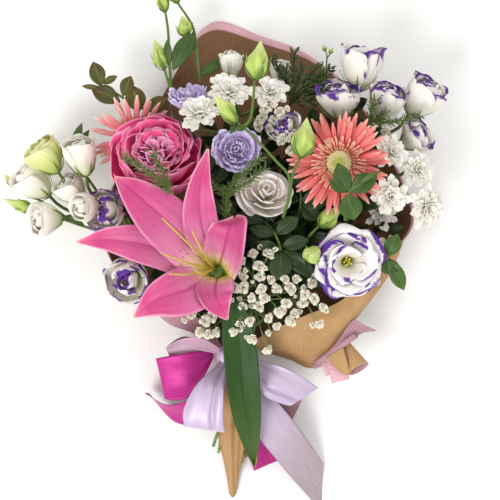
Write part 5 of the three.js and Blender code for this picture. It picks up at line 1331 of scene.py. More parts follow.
# Each tepal: its mid-line from root to tip, its widths, how it rolls, and how far its edges are raised.
TEPALS = [
    ([(-26, 86, 112), (-62, 124, 148), (-96, 155, 152), (-120, 175, 138)], (9, 30, 46, 45, 27, 1.5), (-8, 4),
     (4, 3, 1)),
    ([(-28, 82, 110), (-80, 104, 134), (-122, 112, 134), (-158, 110, 120)], (8, 24, 34, 34, 20, 1.5),
     (10, 6), (3, 2, 1)),
    ([(-26, 76, 112), (-48, 62, 138), (-78, 52, 142), (-101, 35, 126)], (9, 30, 44, 43, 26, 1.5), (-6, -12),
     (3, 3, 1)),
    ([(-18, 74, 112), (-20, 62, 132), (-16, 48, 136), (-7.5, 33, 122)], (8, 22, 34, 33, 20, 1.5), (12, 16),
     (4, 3, 1)),
    ([(-15, 88, 112), (-10, 106, 142), (-6, 124, 152), (-1, 133, 138)], (9, 24, 34, 40, 42, 38, 26, 3),
     (16, 34), (9, 8, 4)),
    ([(-22, 92, 112), (-34, 128, 148), (-35, 165, 162), (-27, 203, 158)], (8, 20, 30, 30, 18, 1.5), (-6, -4),
     (3, 2, 1)),
]
FILAMENT_ENDS = [(-73, 134), (-43, 121), (-74, 99), (-41, 83), (-65.5, 78)]
LILY_FOOT = THROAT + Vector((6, -4, -42))


def make_lily():
    """The lily: six tepals, bare filaments and a green throat down to its foot."""
    tepals = Shape()
    for number, (line, widths, roll, cup) in enumerate(TEPALS):
        places = [seen(*p) for p in line]
        root = places[0] + Vector((1, -1, -10))
        point = strap([root, *places], widths, roll=roll, cup=cup, ruffle=2.2, groove=1.6, waves=5,
                      seed=31 + number)
        tepals.sheet(point, 44, 16, 0.5 + 0.1 * (number % 3))
    grow("lily", tepals, LILY_PETAL, LILY_FLESH)
    lines, girths = [], []
    for x, y in FILAMENT_ENDS:
        end = seen(x, y, 168)
        low = THROAT + Vector((0, 0, -6))
        bent = low.lerp(end, 0.55) + Vector(((y - 100) * 0.06, -(x + 55) * 0.08 - 3, 10))
        lines.append([low, bent, end])
        girths.append([1.1, 0.9, 0.75])
    grow_stalks("lily", lines, girths, FILAMENT, 10)
    throat = Shape()

    def point(along, turn):
        middle = spline([LILY_FOOT, THROAT + Vector((3, -2, -28)), THROAT + Vector((1, -1, -15))], along)
        out = spline([0.1, 3.2, 4.6, 6.6, 7.2], along)
        out = out if 0 < along < 1 else 0
        return middle + Vector((out * math.cos(turn), out * math.sin(turn), 0))

    throat.round(point, 14, 18)
    grow("lily", throat, STALK)


# ------------------------------------------------------------------ sprays of buds and leaves

# Each spray: its stems as lines of places, its buds and leaves as (base, tip, width).
SPRIGS = {
    "bud_spray_centre": {
        "stems": [[(48, 135, 130), (54, 155, 144), (54, 176, 150), (41, 191, 154), (20, 214, 158),
                   (2, 230, 160)],
                  [(8, 225, 160), (16, 236, 162), (20, 274, 170)],
                  [(54, 155, 144), (58, 178, 150), (66, 196, 158)]],
        "buds": [((20, 272, 170), (26, 312, 176), 20), ((2, 229, 160), (-22, 258, 172), 14),
                 ((66, 194, 158), (72, 235, 162), 21)],
        "leaves": [((2, 228, 160), (-5, 218, 164), 5), ((10, 226, 160), (0, 222, 166), 6)]},
    "bud_low": {"stems": [[(70, 110, 92), (76, 118, 104), (85, 127, 110)]],
                "buds": [((84, 126, 110), (108, 146, 112), 17)],
                "leaves": []},
    "bud_facing": {"stems": [[(73, 84, 92), (75, 91, 110), (77, 97, 126)]],
                   "buds": [((77, 97, 124), (77, 98, 144), 16)],
                   "leaves": []},
    "bud_spray_left": {
        "stems": [[(-64, 244, 66), (-65, 263, 64), (-71, 284, 62)],
                  [(-64, 262, 64), (-66, 300, 60), (-67, 322, 56), (-70, 342, 54)]],
        "buds": [((-71, 282, 62), (-81, 314, 60), 14), ((-70, 340, 54), (-75, 366, 52), 12)],
        "leaves": [((-62, 282, 62), (-41, 319, 62), 17), ((-66, 286, 60), (-68, 312, 66), 8)]},
    "bud_spray_top": {
        "stems": [[(-35, 270, 58), (-39, 308, 58), (-43, 327, 56), (-58, 350, 54)],
                  [(-38, 298, 58), (-48, 316, 56)]],
        "buds": [((-57, 349, 54), (-68, 368, 52), 11), ((-48, 315, 56), (-53, 337, 56), 15)],
        "leaves": [((-36, 276, 58), (-8, 292, 52), 10)]},
    "left_bunch": {
        "stems": [[(-106, 112, 58), (-140, 122, 46), (-170, 132, 44), (-201, 142, 46)],
                  [(-160, 129, 44), (-196, 152, 36), (-220, 166, 40)]],
        "buds": [((-199, 141, 46), (-232, 153, 48), 12), ((-219, 165, 40), (-231, 178, 42), 9)],
        "leaves": [((-150, 126, 44), (-165, 136, 50), 6)]},
    "bunch_leaves": {
        "stems": [[(-132, 152, 52), (-146, 172, 48), (-164, 198, 52)]], "buds": [],
        "leaves": [((-164, 196, 52), (-153, 229, 58), 9), ((-160, 192, 52), (-146, 222, 56), 9),
                   ((-164, 196, 52), (-184, 207, 52), 12)]},
    "twig_upper_left": {
        "blade": OLIVE_LEAF,
        "stems": [[(-72, 236, 62), (-100, 247, 64), (-118, 258, 66), (-135, 267, 66)]], "buds": [],
        "leaves": [((-134, 266, 66), (-142, 290, 70), 15), ((-132, 268, 66), (-118, 276, 68), 7),
                   ((-112, 256, 66), (-104, 276, 68), 13), ((-115, 250, 66), (-143, 262, 66), 17),
                   ((-96, 240, 64), (-102, 266, 66), 19), ((-88, 244, 64), (-68, 254, 68), 13),
                   ((-135, 265, 66), (-153, 266, 70), 5)]},
    "twig_front": {
        "stems": [[(110, 132, 134), (112, 148, 147), (114, 160, 154), (125, 170, 158)]], "buds": [],
        "leaves": [((113, 160, 154), (103, 189, 160), 16), ((112, 160, 154), (94, 172, 158), 11),
                   ((115, 160, 154), (142, 176, 158), 17), ((112, 158, 152), (119, 132, 152), 21),
                   ((124, 168, 158), (146, 181, 164), 5)]},
    "twig_right": {
        "stems": [[(128, 78, 102), (143, 86, 108), (154, 97, 110)]], "buds": [],
        "leaves": [((153, 96, 110), (163, 118, 114), 15), ((150, 92, 108), (152, 78, 110), 12),
                   ((153, 94, 110), (169, 62, 104), 14), ((146, 86, 108), (166, 84, 110), 12)]},
    "leaves_centre": {
        "blade": DARK_LEAF_BLADE,
        "stems": [[(46, 84, 84), (46, 101, 102), (40, 118, 104), (30, 130, 100)]], "buds": [],
        "leaves": [((46, 100, 104), (42, 72, 112), 22), ((47, 101, 104), (80, 74, 106), 17),
                   ((48, 102, 104), (72, 86, 110), 11), ((45, 102, 104), (22, 110, 106), 12),
                   ((47, 106, 104), (74, 112, 106), 14), ((40, 118, 104), (14, 124, 108), 12),
                   ((41, 118, 104), (64, 134, 108), 15), ((30, 130, 100), (2, 138, 104), 13),
                   ((31, 130, 100), (40, 146, 98), 14)]},
    "leaves_middle": {
        "blade": DARK_LEAF_BLADE,
        "stems": [[(60, 126, 84), (66, 150, 98), (62, 176, 104)]], "buds": [],
        "leaves": [((66, 150, 98), (96, 158, 104), 20), ((66, 148, 98), (84, 132, 98), 16),
                   ((64, 164, 102), (56, 190, 112), 14), ((62, 176, 104), (70, 204, 104), 14),
                   ((62, 150, 98), (40, 168, 92), 12)]},
    "leaves_left": {
        "blade": DARK_LEAF_BLADE,
        "stems": [[(-24, 128, 78), (-22, 150, 92), (-26, 176, 100)]], "buds": [],
        "leaves": [((-22, 150, 92), (2, 140, 98), 14), ((-22, 152, 92), (-46, 150, 90), 14),
                   ((-24, 168, 98), (-6, 184, 100), 12), ((-26, 176, 100), (-30, 204, 100), 13),
                   ((-24, 164, 98), (-50, 172, 96), 12)]},
}


def make_sprigs():
    """The sprays of buds, the leafy twigs and the dark leaf clusters."""
    for number, (node, sprig) in enumerate(SPRIGS.items()):
        lines = [[seen(*p) for p in line] for line in sprig["stems"]]
        grow_stalks(node, lines, [[1.5, 1.1]] * len(lines), STALK)
        for k, (base, tip, width) in enumerate(sprig["buds"]):
            make_bud(node, seen(*base), seen(*tip), width, 5 + k + number)
        if sprig["leaves"]:
            shape = Shape()
            for k, (base, tip, width) in enumerate(sprig["leaves"]):
                leaf(shape, seen(*base), seen(*tip), width, seed=number * 20 + k)
            grow(node, shape, sprig.get("blade", LEAF_BLADE), BLADE)


# The leafy twigs that fill the bunch between the blooms fan out from the tie to these places.
FOLIAGE_ENDS = [(-44, 60, 78), (-66, 96, 80), (-96, 118, 70), (-116, 150, 66), (-40, 110, 82),
                (-60, 150, 78),
                (-88, 176, 70), (-30, 160, 84), (-40, 204, 82), (-10, 178, 90), (-6, 120, 86), (16, 208, 92),
                (14, 150, 92), (36, 130, 92), (44, 190, 96), (30, 232, 88), (58, 214, 92), (62, 160, 94),
                (84, 128, 90), (84, 232, 84), (98, 206, 88), (104, 150, 90), (110, 244, 76), (124, 110, 82),
                (128, 196, 84), (136, 158, 82), (140, 228, 74), (150, 126, 70), (20, 90, 84), (60, 84, 80),
                (-18, 222, 78), (92, 96, 84)]
FOLIAGE_FOOT = Vector((0, 24, 28))


def make_foliage():
    """Dark twigs deep in the bunch, with a leaf at every few millimetres of their outer part."""
    blade = Shape()
    leaf(blade, Vector((0, 0, 0)), Vector((0, 0, 25)), 13, bow=0.12, fold=0.3, rows=6, columns=3, seed=4)
    piece = template("foliage_leaf", blade, 0.5)
    lines = []
    for number, end in enumerate(FOLIAGE_ENDS):
        tip = seen(*end)
        low = FOLIAGE_FOOT.lerp(tip, 0.5) - Vector((0, 0, 8))
        lines.append([FOLIAGE_FOOT + Vector((1.5 * math.sin(number), 0, 1.5 * math.cos(number))), low, tip])
    grow_stalks("inner_foliage", lines, [[1.2, 0.8]] * len(lines), DARK_STALK, 5)
    BARE_STEPS = 5
    outer = [smooth_line(line, STALK_STEPS)[BARE_STEPS:] for line in lines]
    grow_needles("inner_foliage", outer, piece, 7.5, 58, DARK_LEAF_BLADE)


# ------------------------------------------------------------------ needles, long leaves and the wax sprig

NEEDLE_SPRAYS = {
    "needles_left": [[(-62, 158, 158), (-84, 178, 166), (-110, 196, 160)],
                     [(-66, 161, 159), (-72, 180, 166), (-82, 198, 162)]],
    "needles_centre": [[(-9, 128, 130), (-8, 158, 140), (2, 172, 146), (25, 195, 154)],
                       [(-8, 158, 140), (10, 168, 150), (29, 183, 154)], [(-8, 158, 140), (-24, 166, 142)]],
    "needles_right": [[(134, 222, 106), (136, 240, 114), (140, 252, 118)],
                      [(135, 231, 110), (143, 234, 113), (150, 240, 116)],
                      [(135, 231, 110), (158, 230, 108), (184, 236, 108)]],
}
FAN_FOOT, FAN_BRANCH = seen(52, 238, 78), seen(58, 256, 82)
FAN_TIPS = [(59, 300, 72), (38, 295, 74), (68, 286, 78), (84, 287, 74), (88, 277, 80), (86, 270, 84),
            (91, 262, 84),
            (76, 250, 88), (50, 284, 84), (96, 284, 72)]
WAX_FOOT, WAX_FORK = seen(90, 256, 62), seen(92, 296, 56)
WAX_ENDS = [(88, 307, 56), (98, 304, 56), (96, 274, 58), (86, 282, 58)]


def make_needles():
    """The feathery needle sprays, the fan of branches with short leaves, and the wax-flower sprig."""
    needle = Shape()
    leaf(needle, Vector((0, 0, 0)), Vector((0, 0, 9)), 0.95, bow=0.05, rows=3, columns=2, seed=1)
    piece = template("needle", needle, 0.3)
    for node, branches in NEEDLE_SPRAYS.items():
        lines = [[seen(*p) for p in branch] for branch in branches]
        grow_stalks(node, lines, [[1.2, 0.7]] * len(lines), STALK, 6)
        grow_needles(node, [smooth_line(line, NEEDLE_STEPS) for line in lines], piece, 0.55, 44, NEEDLE)
    fan = [[FAN_FOOT, FAN_FOOT.lerp(FAN_BRANCH, 0.5), FAN_BRANCH]]
    for k, tip in enumerate(FAN_TIPS):
        start = FAN_BRANCH.lerp(FAN_FOOT, 0.05 * k)
        end = seen(*tip)
        fan.append([start, start.lerp(end, 0.5) + Vector((0, 0, 3)), end])
    grow_stalks("long_leaves", fan, [[1.4, 1.1]] + [[0.9, 0.5]] * len(FAN_TIPS), DARK_STALK, 6)
    leaflet = Shape()
    leaf(leaflet, Vector((0, 0, 0)), Vector((0, 0, 9)), 2.8, bow=0.1, rows=4, columns=2, seed=2)
    small = template("leaflet", leaflet, 0.35)
    BARE = 0.25
    grow_needles("long_leaves", [smooth_line(line, NEEDLE_STEPS, BARE) for line in fan[1:]], small, 1.5, 36,
                 LEAFLET)
    lines, girths = [[WAX_FOOT, WAX_FOOT.lerp(WAX_FORK, 0.5), WAX_FORK]], [[1.2, 0.7]]
    for end in WAX_ENDS:
        place = seen(*end)
        start = WAX_FOOT.lerp(WAX_FORK,
                              min(max((place.y - 10 - WAX_FOOT.y) / (WAX_FORK.y - WAX_FOOT.y), 0.1), 1))
        lines.append([start, start.lerp(place, 0.5) + Vector((0.6, 0, 0.6)), place])
        girths.append([0.6, 0.5])
        make_bud("wax_sprig", start.lerp(place, 0.5), place, 4.4, 9, sepals=3)
    grow_stalks("wax_sprig", lines, girths, STALK, 6)


# ------------------------------------------------------------------ gypsophila

GYPSOPHILA = {
    "gypsophila_front": {
        "height": 112, "hubs": [(6, 58), (20, 72), (44, 58), (70, 54), (22, 38)],
        "florets": [(7, 90), (3, 81), (9, 75), (24, 85), (25, 75), (8, 64), (-1, 64), (26, 63), (30, 54),
                    (42, 63), (50, 72),
                    (55, 63), (77, 68), (70, 57), (79, 53), (68, 49), (87, 45), (8, 46), (24, 45), (51, 49),
                    (60, 39),
                    (56, 32), (15, 31), (6, 26), (-1, 21), (17, 14), (33, 34), (41, 26), (32, 3), (84, 29),
                    (-7, 53),
                    (18, 97), (33, 97), (37, 72), (62, 72), (16, 54), (45, 41)]},
    "gypsophila_left": {
        "height": 104, "hubs": [(-32, 34)],
        "florets": [(-44, 54), (-43, 37), (-30, 31), (-24, 35), (-35, 20), (-27, 18), (-20, 20)]},
    "gypsophila_back": {
        "height": 98, "hubs": [(32, 236)],
        "florets": [(31, 243), (27, 234), (38, 232), (44, 240), (34, 224), (24, 226)]},
    "gypsophila_middle": {
        "height": 104, "hubs": [(62, 206)],
        "florets": [(66, 210), (58, 214), (70, 202), (56, 202), (48, 212)]},
    "gypsophila_right": {
        "height": 98, "hubs": [(140, 216)], "florets": [(135, 222), (146, 212), (150, 220), (136, 210)]},
}


def double_floret():
    """A double floret 1 wide, facing +Z: tiers of small rounded petals that close to a puff."""
    shape = Shape()
    tiers = [(7, 0.48, 0.1, 0.44), (7, 0.44, 0.27, 0.42), (6, 0.33, 0.4, 0.38), (4, 0.18, 0.46, 0.3)]
    for tier, (count, out, rise, width) in enumerate(tiers):
        for k in range(count):
            petal(shape, (k + 0.5 * tier) * TURN / count,
                  [(0.03, 0), (out * 0.7, rise * 0.6), (out, rise)], [width * 0.4, width, width * 0.85],
                  wrap=0.6, tip=0.2, ruffle=0.1, rows=3,
                  columns=2, uneven=0.2, seed=tier * 9 + k)
    return shape


def make_gypsophila():
    """Each spray: a stalk that forks to its hubs, and from them to double florets and many small ones."""
    floret = template("gypsophila_floret", double_floret(), 0.02)
    for number, (node, spray) in enumerate(GYPSOPHILA.items()):
        draw = random.Random(number + 3)
        height = spray["height"]
        hubs = [seen(x, y, height - 16) for x, y in spray["hubs"]]
        root = hubs[0] + Vector((0, -6, -12))
        base = root + Vector((0, -0.5, -0.85)).normalized() * 6
        lines = [[base, root, root.lerp(hubs[0], 0.5)]]
        girths = [[1.1, 1.0]]
        for hub in hubs:
            lines.append([root, root.lerp(hub, 0.5) + Vector((draw.uniform(-2, 2), 0, -2)), hub])
            girths.append([0.9, 0.6])
        spots = []
        for x, y in spray["florets"]:
            centre = seen(x, y, height + draw.uniform(-3, 3))
            hub = min(hubs, key=lambda h: (h - centre).length)
            start = hub.lerp(root, draw.uniform(0.0, 0.4))
            lines.append([start,
                          start.lerp(centre, 0.55) + Vector((draw.uniform(-2, 2), draw.uniform(-2, 2), 1)),
                          centre])
            girths.append([0.55, 0.4])
            facing = Vector(((centre - hub).x * 0.05, (centre - hub).y * 0.05, 1))
            spots.append((centre - Vector((0, 0, 1.5)), facing, draw.uniform(9.2, 12.2)))
            if draw.random() < 0.7:
                aside = centre + Vector((draw.uniform(-9, 9), draw.uniform(-9, 9), draw.uniform(-7, -1)))
                lines.append([start.lerp(centre, 0.5), aside.lerp(centre, 0.3), aside])
                girths.append([0.4, 0.35])
                spots.append((aside, Vector((0, 0, 1)), draw.uniform(3.6, 6.4)))
        grow_stalks(node, lines, girths, PALE_STALK, 5)
        grow_copies(node, floret, spots, FLORET_PETAL, number)


# ------------------------------------------------------------------ paper


def round_tie(angle, radius, y):
    """A place on the wrap where it is gathered round the tied stems."""
    return (radius * math.cos(math.radians(angle)), y, TIE_HEIGHT + radius * math.sin(math.radians(angle)))


# The gathered paper's radius round the stems, and how high a sheet that lies on the table is.
PAPER_RADIUS, CUFF_RADIUS, FLAT = 17.4, 18.5, 0.4
PAPERS = {
    "paper_back": [
        [round_tie(a, PAPER_RADIUS, 4) for a in (184, 222, 258, 282, 318, 356)],
        [(-72, 44, 40), (-56, 42, 14), (-22, 42, FLAT), (28, 42, FLAT), (86, 36, 16), (112, 40, 52)],
        [(-121, 92, 36), (-102, 94, 12), (-45, 95, FLAT), (55, 95, FLAT), (124, 94, 20), (151, 97, 68)],
        [(-126, 148, 32), (-106, 150, 10), (-45, 150, FLAT), (60, 150, FLAT), (134, 146, 16),
         (172, 139, 60)],
        [(-76, 246, 22), (-55, 250, 7), (-25, 252, FLAT), (35, 248, FLAT), (95, 235, 8), (138, 222, 30)],
        [(-42, 308, 9), (-30, 324, 5), (-12, 330, 2), (25, 316, 2), (65, 301, 4), (102, 275, 12)]],
    "paper_cuff": [
        [round_tie(a, CUFF_RADIUS, 6) for a in (70, 35, 0)],
        [(34, 24, 66), (46, 8, 58), (52, -4, 42)],
        [(66, 40, 84), (80, 18, 76), (80, -10, 50)],
        [(101, 55, 92), (114, 43, 86), (115, 34, 62)],
        [(132, 85, 92), (142, 83, 86), (146, 77, 76)],
        [(154, 110, 90), (158, 110, 87), (160, 109, 84)]],
    "paper_fold": [
        [round_tie(a, PAPER_RADIUS, 5) for a in (126, 152, 174)],
        [(-26, 30, 60), (-34, 26, 50), (-38, 20, 38)],
        [(-50, 46, 76), (-58, 40, 66), (-62, 30, 50)],
        [(-64, 58, 84), (-72, 52, 76), (-78, 44, 60)]],
    "paper_skirt": [
        [round_tie(a, PAPER_RADIUS, -8) for a in (200, 240, 270, 300, 340)],
        [(-24, -40, 16), (-12, -42, 8), (8, -42, 5), (30, -42, 8), (44, -40, 18)],
        [(-17, -70, 12), (-8, -90, 4), (6, -84, 2), (34, -66, 4), (62, -46, 16)],
        [(-9, -118, 6), (-4, -141, 1.5), (5, -110, 1), (46, -84, 2), (70, -40, 14)]],
}
# The skirt's front is folded over the stems; the cuff's corner ends in a mauve flap, a rolled edge and tabs.
SKIRT_FRONT = [
    [round_tie(a, CUFF_RADIUS + 0.2, -9) for a in (165, 125, 90, 55, 15)],
    [(-21, -30, 26), (-12, -31, 37.5), (0, -31, 40), (12, -31, 37.5), (22, -30, 26)],
    [(-20, -56, 20), (-13, -58, 30), (0, -60, 32), (13, -58, 30), (22, -54, 20)],
    [(-16, -86, 10), (-10, -93, 22), (0, -97, 24), (10, -90, 20), (18, -80, 10)],
    [(-8, -122, 5), (-5, -142, 3.5), (1, -141, 3.5), (6, -112, 7), (14, -98, 8)]]
PAPER_FINISH = {"paper_back": KRAFT_PAINTED_SHADE, "paper_cuff": KRAFT, "paper_fold": MAUVE_PAPER,
                "paper_skirt": KRAFT_SKIRT}


def patch(net):
    """A sheet through a net of places: rows across it, from the tie outwards."""
    rows = [[Vector(p) for p in row] for row in net]
    return lambda along, across: spline([spline(row, across) for row in rows], along)


def make_paper():
    """The four sheets of the wrap, creased and gathered, the skirt's folded front and the cuff's corner."""
    for number, (node, net) in enumerate(PAPERS.items()):
        point = patch(net)

        def creased(along, across, point=point, number=number):
            place = point(along, across)
            away = min(along * 6, 1)
            near = Vector((place.x * 0.035, place.y * 0.02, number * 5.0))
            fine = Vector((place.x * 0.09, place.y * 0.05, number * 3.0))
            gathers = math.sin(across * 46 + number) * math.exp(-along * 7) * 1.3
            diagonal = place.x * 0.8 + place.y * 0.6
            lift = 2.6 * noise.noise(near) + 1.0 * noise.noise(fine)
            lift += 3.0 * noise.noise(Vector((diagonal * 0.07, (place.y - place.x) * 0.012, number * 2.0)))
            if place.z < 3:
                lift = max(lift, 0) * 0.5
            place.z = max(place.z + away * lift + gathers * away, FLAT)
            return place

        shape = Shape()
        shape.sheet(creased, 72, 64)
        grow(node, shape, PAPER_FINISH[node], PAPER)
    front = patch(SKIRT_FRONT)

    def gathered(along, across):
        place = front(along, across)
        creases = math.sin(across * 17 + 2 * along) + 0.6 * math.sin(across * 41 + 5 * along)
        place.z = max(place.z + 1.3 * creases * min(along * 5, 1), FLAT)
        return place

    shape = Shape()
    shape.sheet(gathered, 60, 40)
    grow("paper_skirt", shape, KRAFT, PAPER)
    make_cuff_corner()


# The cuff's lower right corner: flat pieces as nets of places that the eye sees, and rolled-up pieces as
# their two ends with a radius at each.
CORNER_SHEETS = [
    (MAUVE_PAPER,
     [[(81, -8, 62), (84, -12, 58)], [(101, 8, 72), (105, 4, 64)], [(117, 31, 82), (112, 8, 64)],
                   [(129, 27, 78), (127, 19, 68)], [(141, 21.5, 72), (140.5, 21, 71)]]),
    (KRAFT,
     [[(92, -5, 70), (108, 5, 72)], [(99, -14, 70), (112, -9, 75)], [(107, -22, 68), (115, -23, 72)]]),
    (ROSE_PAPER,
     [[(92, -6, 62), (110, -8, 62)], [(94, -20, 62), (112, -17, 64)], [(97, -31, 58), (114.5, -27, 62)]]),
    (ROSE_PAPER,
     [[(84, -9, 60), (94, -9, 60)], [(87, -15, 61), (94, -16, 60)], [(90, -24, 57), (94.5, -23, 57)]]),
    (MAUVE_PAPER,
     [[(78, -11, 57), (88, -8, 58)], [(78, -14, 58), (87, -11, 59)], [(79, -17, 56), (87, -14, 57)]])]
CORNER_ROLLS = [
    (MAUVE_PAPER, (81, -12, 64), (121, 17, 74), 2.6, 3.0),
    (KRAFT, (110, 6, 62), (124, -17, 71), 5.6, 10.4),
    (MAUVE_PAPER, (110.6, 5, 62), (123.7, -16.4, 70.8), 5.2, 9.9)]


# How often a roll goes round, how much tighter it is at its inner edge, and how flat it is pressed.
ROLL_TURNS, ROLL_TIGHTENS, ROLL_FLATNESS = 1.1, 0.06, 0.6


def make_cuff_corner():
    """A mauve flap, a rolled edge, a kraft roll that is mauve inside, and pink tabs."""
    for material, net in CORNER_SHEETS:
        shape = Shape()
        shape.sheet(patch([[seen(*place) for place in row] for row in net]), 20, 10)
        grow("paper_cuff", shape, material, PAPER)
    for material, start, end, near_radius, far_radius in CORNER_ROLLS:
        start, end = seen(*start), seen(*end)
        axis = end - start
        turn = UP.rotation_difference(axis.normalized()).to_matrix()

        def rolled(along, across, start=start, axis=axis, turn=turn, radii=(near_radius, far_radius)):
            about = across * ROLL_TURNS * TURN
            radius = spline(radii, along) * (1 - ROLL_TIGHTENS * across)
            side = turn @ Vector((radius * math.cos(about), radius * math.sin(about), 0))
            side.z *= ROLL_FLATNESS
            return start + axis * along + side

        shape = Shape()
        shape.sheet(rolled, 16, 32)
        grow("paper_cuff", shape, material, ROLLED_PAPER)


# ------------------------------------------------------------------ ribbons

# Each ribbon: rows of two places across it, from the knot outwards; a loop comes back to the knot.
RIBBONS = {
    "magenta_loop": [[(-20.3, 5, 51), (-20.3, -2, 50)], [(-34, 5, 63), (-30, -21, 60)],
                     [(-52, 3, 70), (-46, -40, 66)],
                     [(-75, -2, 62), (-67, -40, 58)], [(-50, 1, 50), (-46, -32, 47)],
                     [(-21, 3, 47), (-21, -3, 46)]],
    "pale_loop": [[(-13, 7, 58), (-14, 2, 46)], [(-30, 19, 88), (-30, 3, 57)], [(-50, 18, 88), (-48, 0, 57)],
                  [(-65, 9, 82), (-62, -1, 51)], [(-46, 20, 80), (-44, 7, 48)],
                  [(-13, 6, 54), (-14, 4, 42)]],
    "lilac_loop_left": [[(-13, -5, 54), (-5, -7, 55)], [(-36, -26, 79), (-9, -28, 82)],
                        [(-48, -50, 82), (-10, -54, 84)],
                        [(-47, -66, 74), (-9, -71, 76)], [(-42, -50, 64), (-12, -52, 66)],
                        [(-13, -6, 48), (-5, -7, 47)]],
    "lilac_loop_right": [[(4, 1, 54), (4, -5, 54)], [(48, -10, 76), (24, -34, 78)],
                         [(80, -30, 66), (53, -47, 68)],
                         [(54, -18, 58), (34, -40, 58)], [(4, 0, 47), (4, -6, 46)]],
    "lilac_tail": [[(1, -8, 48), (-6, -9, 47)], [(42, -46, 44), (14, -66, 44)],
                   [(68, -80, 26), (44, -108, 26)],
                   [(88, -111, 2), (86, -158, 2)]],
    "magenta_tail": [[(2, -12.5, 45), (-6, -14, 45)], [(34, -53, 34), (1, -68, 34)],
                     [(54, -104, 2.4), (19, -118, 2.4)]],
    "magenta_tail_left": [[(-13, -12, 45), (-3, -13.5, 45.3)], [(-42, -41, 44), (-27, -63, 26)],
                          [(-66, -49, 34), (-58, -69, 10)],
                          [(-88, -38, 34), (-86, -40, 6)]],
}
RIBBON_FINISH = {"magenta": MAGENTA_SATIN, "lilac": LILAC_SATIN, "pale": PALE_SATIN}
RIBBON_NODE = {"magenta_loop": "ribbon_magenta_loop", "magenta_tail": "ribbon_magenta_tails",
               "magenta_tail_left": "ribbon_magenta_tails"}
# The lilac loops are folded lengthwise at this share of their width.
FOLDED_LOOPS, FOLD_AT = ("lilac_loop_left", "lilac_loop_right"), 0.72
KNOT = Vector((-6, -2, 48.1))
KNOT_SIZE = Vector((14, 12, 8))
RIBBON_ROWS, RIBBON_COLUMNS = 64, 20


def make_ribbons():
    """Satin ribbons, gathered in folds at the knot; each is one sheet of cloth, as long as its mid-line."""
    made = []
    for number, (name, net) in enumerate(RIBBONS.items()):
        point = patch(net)
        closed = "loop" in name

        def folded(along, across, point=point, closed=closed, number=number, name=name):
            place = point(along, across)
            near = min(along, 1 - along) if closed else along
            pleats = math.sin(across * 4.4 * math.pi + number) * math.exp(-near * 5) * 2.2
            drape = 2.4 * math.sin(across * math.pi * 1.6 + along * 4 + number) * min(near * 4, 1)
            fold = math.exp(-(((across - FOLD_AT) / 0.06) ** 2)) if name in FOLDED_LOOPS else 0
            crease = -5 * fold * min(near * 4, 1)
            place.z = max(place.z + pleats + drape + crease, 0.8)
            return place

        shape = Shape()
        shape.sheet(folded, RIBBON_ROWS, RIBBON_COLUMNS)
        middle = [folded(k / RIBBON_ROWS, 0.5) for k in range(RIBBON_ROWS + 1)]
        length = sum((after - before).length for before, after in zip(middle, middle[1:]))
        finish = LILAC_TAIL_SATIN if name == "lilac_tail" else RIBBON_FINISH[name.split("_")[0]]
        ribbon = new_object("satin_" + name, shape.mesh(name), finish)
        thickened(ribbon, SATIN)
        made.append((ribbon, name, length))
    return made


def make_knot():
    """The knot and the band round the tie: satin drawn tight, with folds that run in under the knot."""
    shape = Shape()

    def knot(along, turn):
        latitude = math.pi * (along - 0.5)
        out = math.cos(latitude)
        folds = 1 + 0.09 * math.sin(5 * math.sin(turn) * 2 + 3 * latitude) * out
        return KNOT + Vector((KNOT_SIZE.x * math.sin(latitude) * 0.98,
                              KNOT_SIZE.y * out * math.cos(turn) * folds,
                              KNOT_SIZE.z * out * math.sin(turn) * folds))

    shape.round(knot, 28, 40)
    grow("ribbon_lilac", shape, LILAC_SATIN)
    band = Shape()

    def wrap(along, across):
        turn = TURN * along
        pleat = 0.35 * math.sin(across * 5 * math.pi + 0.6 * math.sin(turn))
        radius = 17.3 + pleat
        return Vector((radius * math.cos(turn), -7 + 10 * across, TIE_HEIGHT + radius * math.sin(turn)))

    band.sheet(wrap, 64, 16)
    grow("ribbon_lilac", band, LILAC_SATIN, BAND)


# ------------------------------------------------------------------ the big leaf, the binding and the stems


def make_big_leaf():
    """The long lily leaf that hangs down in front of the tie."""
    line = [seen(*p) for p in [(-3, 50, 108), (2, 26, 110), (6, -6, 100), (10, -48, 84), (15, -84, 56),
                               (19.5, -113, 26)]]
    shape = Shape()
    point = strap(line, [12, 26, 31, 31, 27, 16, 1.2], cup=(3, 3), ruffle=1.0, groove=1.2, waves=4, seed=3)
    shape.sheet(point, 60, 20)
    grow("big_leaf", shape, LILY_LEAF, LILY_FLESH)


def make_stems():
    """The stems: the frame's own solid, rounded and smoothed."""
    mesh = bpy.data.objects["stems"].data.copy()
    mesh.materials.clear()
    copy = new_object("stems_part", mesh, STEM)
    weld = copy.modifiers.new("weld", "WELD")
    weld.merge_threshold = 0.01 * MM
    remesh = copy.modifiers.new("even", "REMESH")
    remesh.mode = "VOXEL"
    remesh.voxel_size = 1.0 * MM
    smooth = copy.modifiers.new("round", "SMOOTH")
    smooth.factor = 0.5
    smooth.iterations = 4
    fewer = copy.modifiers.new("fewer", "DECIMATE")
    fewer.ratio = 0.5
    baked(copy)
    copy.data.shade_smooth()
    keep("stems", copy)


# ------------------------------------------------------------------ the floor, the light and the camera


# Each lamp: its place, the side of its square and its power; all shine on the blooms' middle height.
LAMPS = {"key": ((-1.0, -1.2, 2.0), 1.1, 38), "fill": ((1.4, 0.3, 1.9), 1.6, 8),
         "top": ((0.3, 1.5, 2.0), 1.4, 8)}
LIT = Vector((0, 0, 0.08))
SKY_LIGHT = 0.78
# The photo shows this many millimetres of the table; the lens for that follows from the eye's height.
PHOTO_WIDTH, SENSOR = 500, 36


